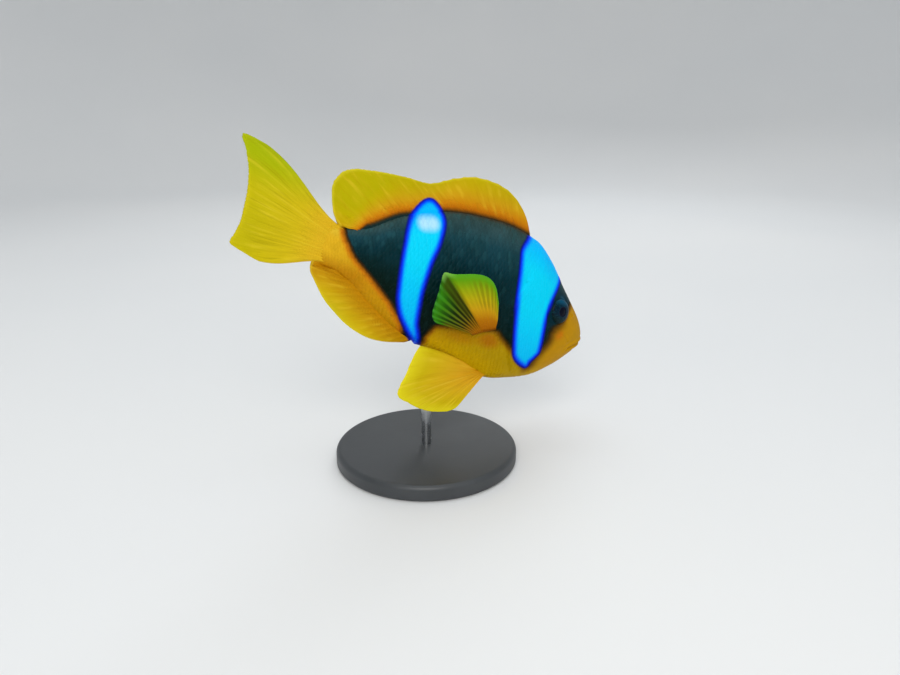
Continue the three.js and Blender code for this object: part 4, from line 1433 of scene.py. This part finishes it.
def midline_fin_material():
    """Dark and orange at the foot of the dorsal fin, yellow above; the middle bar runs up onto it."""
    look = Look("fish_fins")
    ray, along, height = look.parts("fin_co")
    back, _, up = look.parts("fish_co")
    _, to_middle_bar, _ = look.parts("mark_co")
    _, _, light, fine = ray_light(ray, along)
    ragged = height + (fine - 0.5) * 0.4 - back.rise(70, 78) * back.rise(84, 88, 0.5, 0)
    ragged = ragged * back.rise(62, 70, 1, 1.4) + back.rise(84, 90, 0, 6)
    dorsal = ragged.ramp(
        (-0.9, 18, 42, 42), (-0.2, 58, 46, 22), (0.3, 122, 70, 6), (1, 180, 102, 4), (2.2, 200, 126, 8),
        (4.5, 202, 152, 16), (7, 194, 162, 8), (10, 186, 167, 0), (14, 180, 168, 0),
    )
    anal = height.ramp((0, 188, 130, 4), (3, 192, 146, 10), (6, 200, 168, 12), (9, 206, 190, 24))
    colour = anal.to(dorsal, up.rise(0, 4))
    dark = fine.rise(0.5, 0.72) * ragged.rise(0.3, 2) * along.rise(0.35, 0.8, 0.5, 0.16)
    colour = colour.to((178, 122, 0), dark)
    colour = colour.to((228, 192, 44), light * ragged.rise(0.3, 3, 0, 0.3))
    colour = colour.to((220, 206, 50), along.rise(0.93, 1, 0, 0.4))
    bar = bar_colour(to_middle_bar, Value(look, 0.95), 1)
    colour = colour.to(bar, to_middle_bar.rise(0, 0.6, 1, 0))
    return finish_fin(look, colour, along, fine)


def tail_material():
    """Gold at the stalk, yellow over the fan and greenish at the tip of the upper lobe."""
    look = Look("fish_tail")
    ray, along, _ = look.parts("fin_co")
    back, _, up = look.parts("fish_co")
    _, _, light, fine = ray_light(ray, along)
    colour = back.ramp((89, 218, 174, 30), (96, 218, 178, 32), (103, 206, 180, 20), (114, 194, 180, 10))
    colour = colour.to((156, 178, 4), up.rise(5, 17, 0, 0.8))
    colour = colour.to((156, 140, 0), fine.rise(0.5, 0.7) * back.rise(95, 103, 0.1, 0.45))
    colour = colour.to((234, 208, 50), light * 0.3)
    return finish_fin(look, colour, along, fine)


def pectoral_material():
    """Gold in front with a green margin; dark green behind the fold, painted as the fold's shaded side
    and as the flank seen through the membrane.
    """
    look = Look("fish_pectoral_fins")
    ray, along, _ = look.parts("fin_co")
    line, broad, _, fine = ray_light(ray, along)
    front = along.ramp(
        (0, 164, 92, 0), (0.2, 182, 114, 2), (0.4, 202, 156, 18), (0.58, 186, 168, 14),
        (0.74, 150, 166, 10), (0.9, 98, 158, 12), (1, 84, 160, 30),
    )
    streaked = along.rise(0.3, 0.5) * along.rise(0.8, 0.95, 0.5, 0)
    front = front.to((112, 108, 0), streaked * (1 - line) * ray.rise(5, 7.5, 1, 0.25))
    # Behind the fold the rays and the web between them are painted darker: painted shade, and the dark
    # flank painted as seen through the membrane.
    shaded_rear_ray = along.ramp(
        (0, 180, 108, 0), (0.18, 150, 106, 4), (0.4, 104, 104, 16), (0.65, 74, 110, 18),
        (0.85, 58, 130, 14), (1, 60, 140, 40),
    )
    shaded_rear_web = along.ramp(
        (0, 170, 100, 0), (0.16, 110, 74, 0), (0.3, 34, 32, 0), (0.6, 20, 40, 2), (0.8, 36, 84, 6),
        (0.95, 50, 124, 10), (1, 30, 90, 20),
    )
    rear = shaded_rear_web.to(shaded_rear_ray, line)
    wander = ray + broad * 0.8
    # A darker band along the fold: painted shade in the crease.
    fold = wander.rise(9.4, 10.2) * wander.rise(11.2, 12.6, 1, 0)
    rear = rear.to((56, 58, 0), fold * along.rise(0.9, 1, 0.75, 0.2) * along.rise(0.2, 0.4))
    rear = rear.to((120, 104, 2), wander.rise(15.4, 17.4) * along.rise(0.85, 0.6, 0, 0.8))
    colour = front.to(rear, wander.rise(9.2, 10.2))
    tip = along.rise(0.9, 1) * ray.rise(8, 9.4) * ray.rise(10, 11, 0.6, 0)
    return finish_fin(look, colour.to((140, 196, 90), tip), along, fine, 0.5)


def pelvic_material():
    look = Look("fish_pelvic_fins")
    ray, along, _ = look.parts("fin_co")
    _, _, light, fine = ray_light(ray * 2.5, along)
    colour = along.ramp(
        (0, 196, 138, 8), (0.25, 214, 160, 28), (0.5, 212, 170, 24), (0.78, 204, 178, 12),
        (1, 224, 210, 28),
    )
    colour = colour.to((206, 176, 14), ray.rise(0, 0.8, 0.5, 0))
    colour = colour.to((190, 146, 0), fine.rise(0.5, 0.72) * 0.35)
    return finish_fin(look, colour.to((238, 206, 60), light * 0.3), along, fine)


def eye_material():
    """Navy, with a black pupil in a faint ring, a greener lower part, and painted sheen that makes the
    upper part bluer and lighter.
    """
    look = Look("fish_eye")
    radius, turn_cos, turn_sin = look.parts("eye_co")
    colour = radius.ramp(
        (0, 0, 2, 18), (1.4, 0, 4, 26), (1.55, 0, 20, 40), (1.75, 0, 38, 58), (1.95, 0, 24, 42),
        (3, 0, 26, 42), (3.6, 0, 14, 24),
    )
    lowness = radius * turn_sin
    # Painted sheen: the upper part bluer and lighter.
    colour = colour.to((0, 76, 106), lowness.rise(-1.4, -3.2, 0, 0.8))
    colour = colour.to((0, 26, 20), lowness.rise(1, 2.8, 0, 0.7))
    fleck = look.joined(turn_cos, turn_sin, radius * 0.12).noise(9, 3)
    colour = colour.to((20, 84, 92), fleck.rise(0.45, 0.75) * radius.rise(1.7, 2, 0, 0.4))
    look.bump(fleck, 0.02, 0.3)
    return look.finish(colour, 0.35, Specular_IOR_Level=0.06, Coat_Weight=0.06, Coat_Roughness=0.04)


def paint_material():
    """Satin dark grey paint with a slight orange peel and lighter rubbed spots."""
    look = Look("stand_paint")
    wear = look.place().noise(60, 5)
    colour = wear.ramp((0.3, 52, 55, 58), (0.6, 60, 63, 66), (0.8, 72, 75, 78))
    look.bump(look.place().noise(900), 0.03, 0.5)
    return look.finish(colour, wear.rise(0.3, 0.8, 0.42, 0.58), Specular_IOR_Level=0.5)


def steel_material():
    """Brushed steel, its fine scratches running round the rod."""
    look = Look("stand_steel")
    scratches = look.place().vector_math("MULTIPLY", (300, 300, 9000)).noise(1, 3)
    colour = scratches.ramp((0.3, 168, 172, 176), (0.7, 206, 208, 210))
    look.bump(scratches, 0.01, 0.4)
    roughness = look.place().noise(140, 3).rise(0.3, 0.8, 0.22, 0.38)
    return look.finish(colour, roughness, Metallic=1)


def stage_material():
    look = Look("studio_floor")
    colour = look.place().noise(3).ramp((0.3, 226, 227, 228), (0.7, 231, 231, 231))
    return look.finish(colour, 0.85, Specular_IOR_Level=0.2)


# ---- the stand and the studio --------------------------------------------------------

BASE_CHAMFER = 0.8
BASE_EDGE = 1.5                 # radius of the base's upper edge
ROD_CHAMFER = 0.3

FLOOR_RADIUS = 700              # the studio's flat floor, and the reach of its curved wall
WALL_CURVE_HEIGHT = 900
WALL_TOP = 1500
LIGHTS_AIM = Vector((0, 0, 0.06))
# Lights: name, place in metres, size, watts, colour.
LIGHTS = [
    ("key_light", (-0.3, -0.62, 0.5), 0.55, 4, (1, 0.99, 0.96)),
    ("top_light", (0.05, 0.1, 0.85), 0.8, 2.25, (0.96, 0.99, 1)),
    ("rim_light", (0.45, 0.5, 0.5), 0.4, 1, (0.95, 0.98, 1)),
]


def turned_shape(name, profile, sectors, material, closed=True):
    """A turned shape about the vertical axis, from (radius, height) points in millimetres.

    A closed one has two flat ends and faces outwards; an open one is a dish that faces inwards.
    """
    turn = np.linspace(0, 2 * math.pi, sectors, endpoint=False)
    points = [(r * math.cos(a) * MM, r * math.sin(a) * MM, z * MM) for r, z in profile for a in turn]
    faces = wrapped_faces(len(profile), sectors, 0)
    faces = (faces[:, ::-1] if closed else faces).tolist()
    if closed:
        faces += [list(range(sectors))[::-1], list(range(len(points) - sectors, len(points)))]
    mesh = bpy.data.meshes.new(name)
    mesh.from_pydata(points, [], faces)
    mesh.polygons.foreach_set("use_smooth", [len(face) == 4 for face in faces])
    mesh.materials.append(material)
    return linked(name, mesh)


def rounded_profile(radius, low, high, foot, edge):
    """A disc's profile with a small chamfer below and a rounded edge above."""
    profile = [
        (radius - foot - 1, low), (radius - foot, low), (radius, low + foot), (radius, low + foot + 0.3)
    ]
    for a in np.linspace(0, math.pi / 2, 13):
        profile.append((radius - edge * (1 - math.cos(a)), high - edge * (1 - math.sin(a))))
    return profile + [(radius - edge - 0.6, high)]


def stand():
    base_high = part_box("stand_base")[1] / MM
    rod_low, rod_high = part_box("stand_rod")
    radius, bottom, top = rod_high.x / MM, rod_low.z / MM, rod_high.z / MM
    base_profile = rounded_profile(base_high.x, 0, base_high.z, BASE_CHAMFER, BASE_EDGE)
    base = turned_shape("stand_base_disc", base_profile, 144, paint_material())
    rod_profile = [(radius - ROD_CHAMFER, bottom), (radius, bottom + ROD_CHAMFER)]
    rod_profile += [(radius, height) for height in np.linspace(bottom, top, 25)[1:-1]]
    rod_profile += [(radius, top - ROD_CHAMFER), (radius - ROD_CHAMFER, top)]
    rod = turned_shape("stand_rod_bar", rod_profile, 48, steel_material())
    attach(base, "root")
    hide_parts("stand_base")
    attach(rod, "root")
    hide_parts("stand_rod")


def studio():
    """A wide pale dish as floor and backdrop, soft lights above it and a pale sky."""
    profile = [(0.001, 0), (FLOOR_RADIUS, 0)]
    for a in np.linspace(0, math.pi / 2, 25)[1:]:
        profile.append((FLOOR_RADIUS * (1 + math.sin(a)), WALL_CURVE_HEIGHT * (1 - math.cos(a))))
    profile.append((2 * FLOOR_RADIUS, WALL_TOP))
    dish = turned_shape("studio_dish", profile, 96, stage_material(), closed=False)

    world = bpy.data.worlds.new("studio_sky")
    world.use_nodes = True
    sky = world.node_tree.nodes["Background"]
    sky.inputs["Color"].default_value = (0.93, 0.97, 1, 1)
    sky.inputs["Strength"].default_value = 0.5
    bpy.context.scene.world = world

    for name, place, size, watts, colour in LIGHTS:
        lamp = bpy.data.lights.new(name, "AREA")
        lamp.shape, lamp.size, lamp.energy, lamp.color = "DISK", size, watts, colour
        light = linked(name, lamp)
        light.location = place
        light.rotation_euler = (LIGHTS_AIM - light.location).to_track_quat("-Z", "Y").to_euler()


def camera():
    """The photograph's view: from behind the fish's right flank, looking a little down."""
    lens = bpy.data.cameras.new("camera")
    lens.lens = CAMERA_LENS
    lens.sensor_width = 36
    lens.clip_start = 0.01
    eye_point = linked("camera", lens)
    eye_point.location = (FRAME_ZERO + turned(CAMERA_ANCHOR) + np.array(CAMERA_FROM_ANCHOR)) * MM
    look_back = Vector((
        math.sin(CAMERA_AZIMUTH) * math.cos(CAMERA_ELEVATION),
        -math.cos(CAMERA_AZIMUTH) * math.cos(CAMERA_ELEVATION),
        math.sin(CAMERA_ELEVATION),
    ))
    eye_point.rotation_euler = (-look_back).to_track_quat("-Z", "Y").to_euler()
    bpy.context.scene.camera = eye_point


# ---- assembly ------------------------------------------------------------------------

FLESH = [
    "head", "lower_jaw", "gill_cover_right", "gill_cover_left", "trunk", "tail_stalk",
    "dorsal_fin_spiny", "dorsal_fin_soft", "anal_fin", "tail_fin", "pectoral_fin_left",
    "pectoral_fin_right", "pelvic_fin_left", "pelvic_fin_right",
]


def add_skin(fins):
    skin = Patchwork()
    add_body(skin)
    for fin in fins:
        fin.add_to(skin)
    piece = skin.build(
        "fish_skin", skin_material(), midline_fin_material(), tail_material(), pectoral_material(),
        pelvic_material(),
    )
    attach(piece, "root")
    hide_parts(*FLESH)


def add_coat(fins):
    material = scale_material()
    stretches = [
        ("head", lambda back: back < HEAD_COAT_END),
        ("flank", lambda back: (back >= HEAD_COAT_END) & (back < FLANK_COAT_END)),
        ("rear", lambda back: back >= FLANK_COAT_END),
    ]
    for name, chosen in stretches:
        for side, side_name in ((-1, "right"), (1, "left")):
            coat = Patchwork()
            body_scales(coat, side, chosen)
            if name != "head":
                lateral_line(coat, side, chosen)
            piece = coat.build(f"scales_{name}_{side_name}", material)
            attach(piece, "root")
    for fin in fins:
        if fin.name in SHEATHS:
            material_name, *extent = SHEATHS[fin.name]
            sheath = Patchwork()
            sheath_scales(sheath, fin, *extent)
            piece = sheath.build(f"scales_{fin.name}_base", bpy.data.materials[material_name])
            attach(piece, "root")


def add_eyes():
    material = eye_material()
    for side, node in ((1, "eye_left"), (-1, "eye_right")):
        piece = eye(side, material)
        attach(piece, "root")
        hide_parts(node)


def main():
    fins = all_fins()
    add_skin(fins)
    add_coat(fins)
    add_eyes()
    stand()
    studio()
    camera()
    bpy.context.scene.view_settings.view_transform = "Standard"


main()
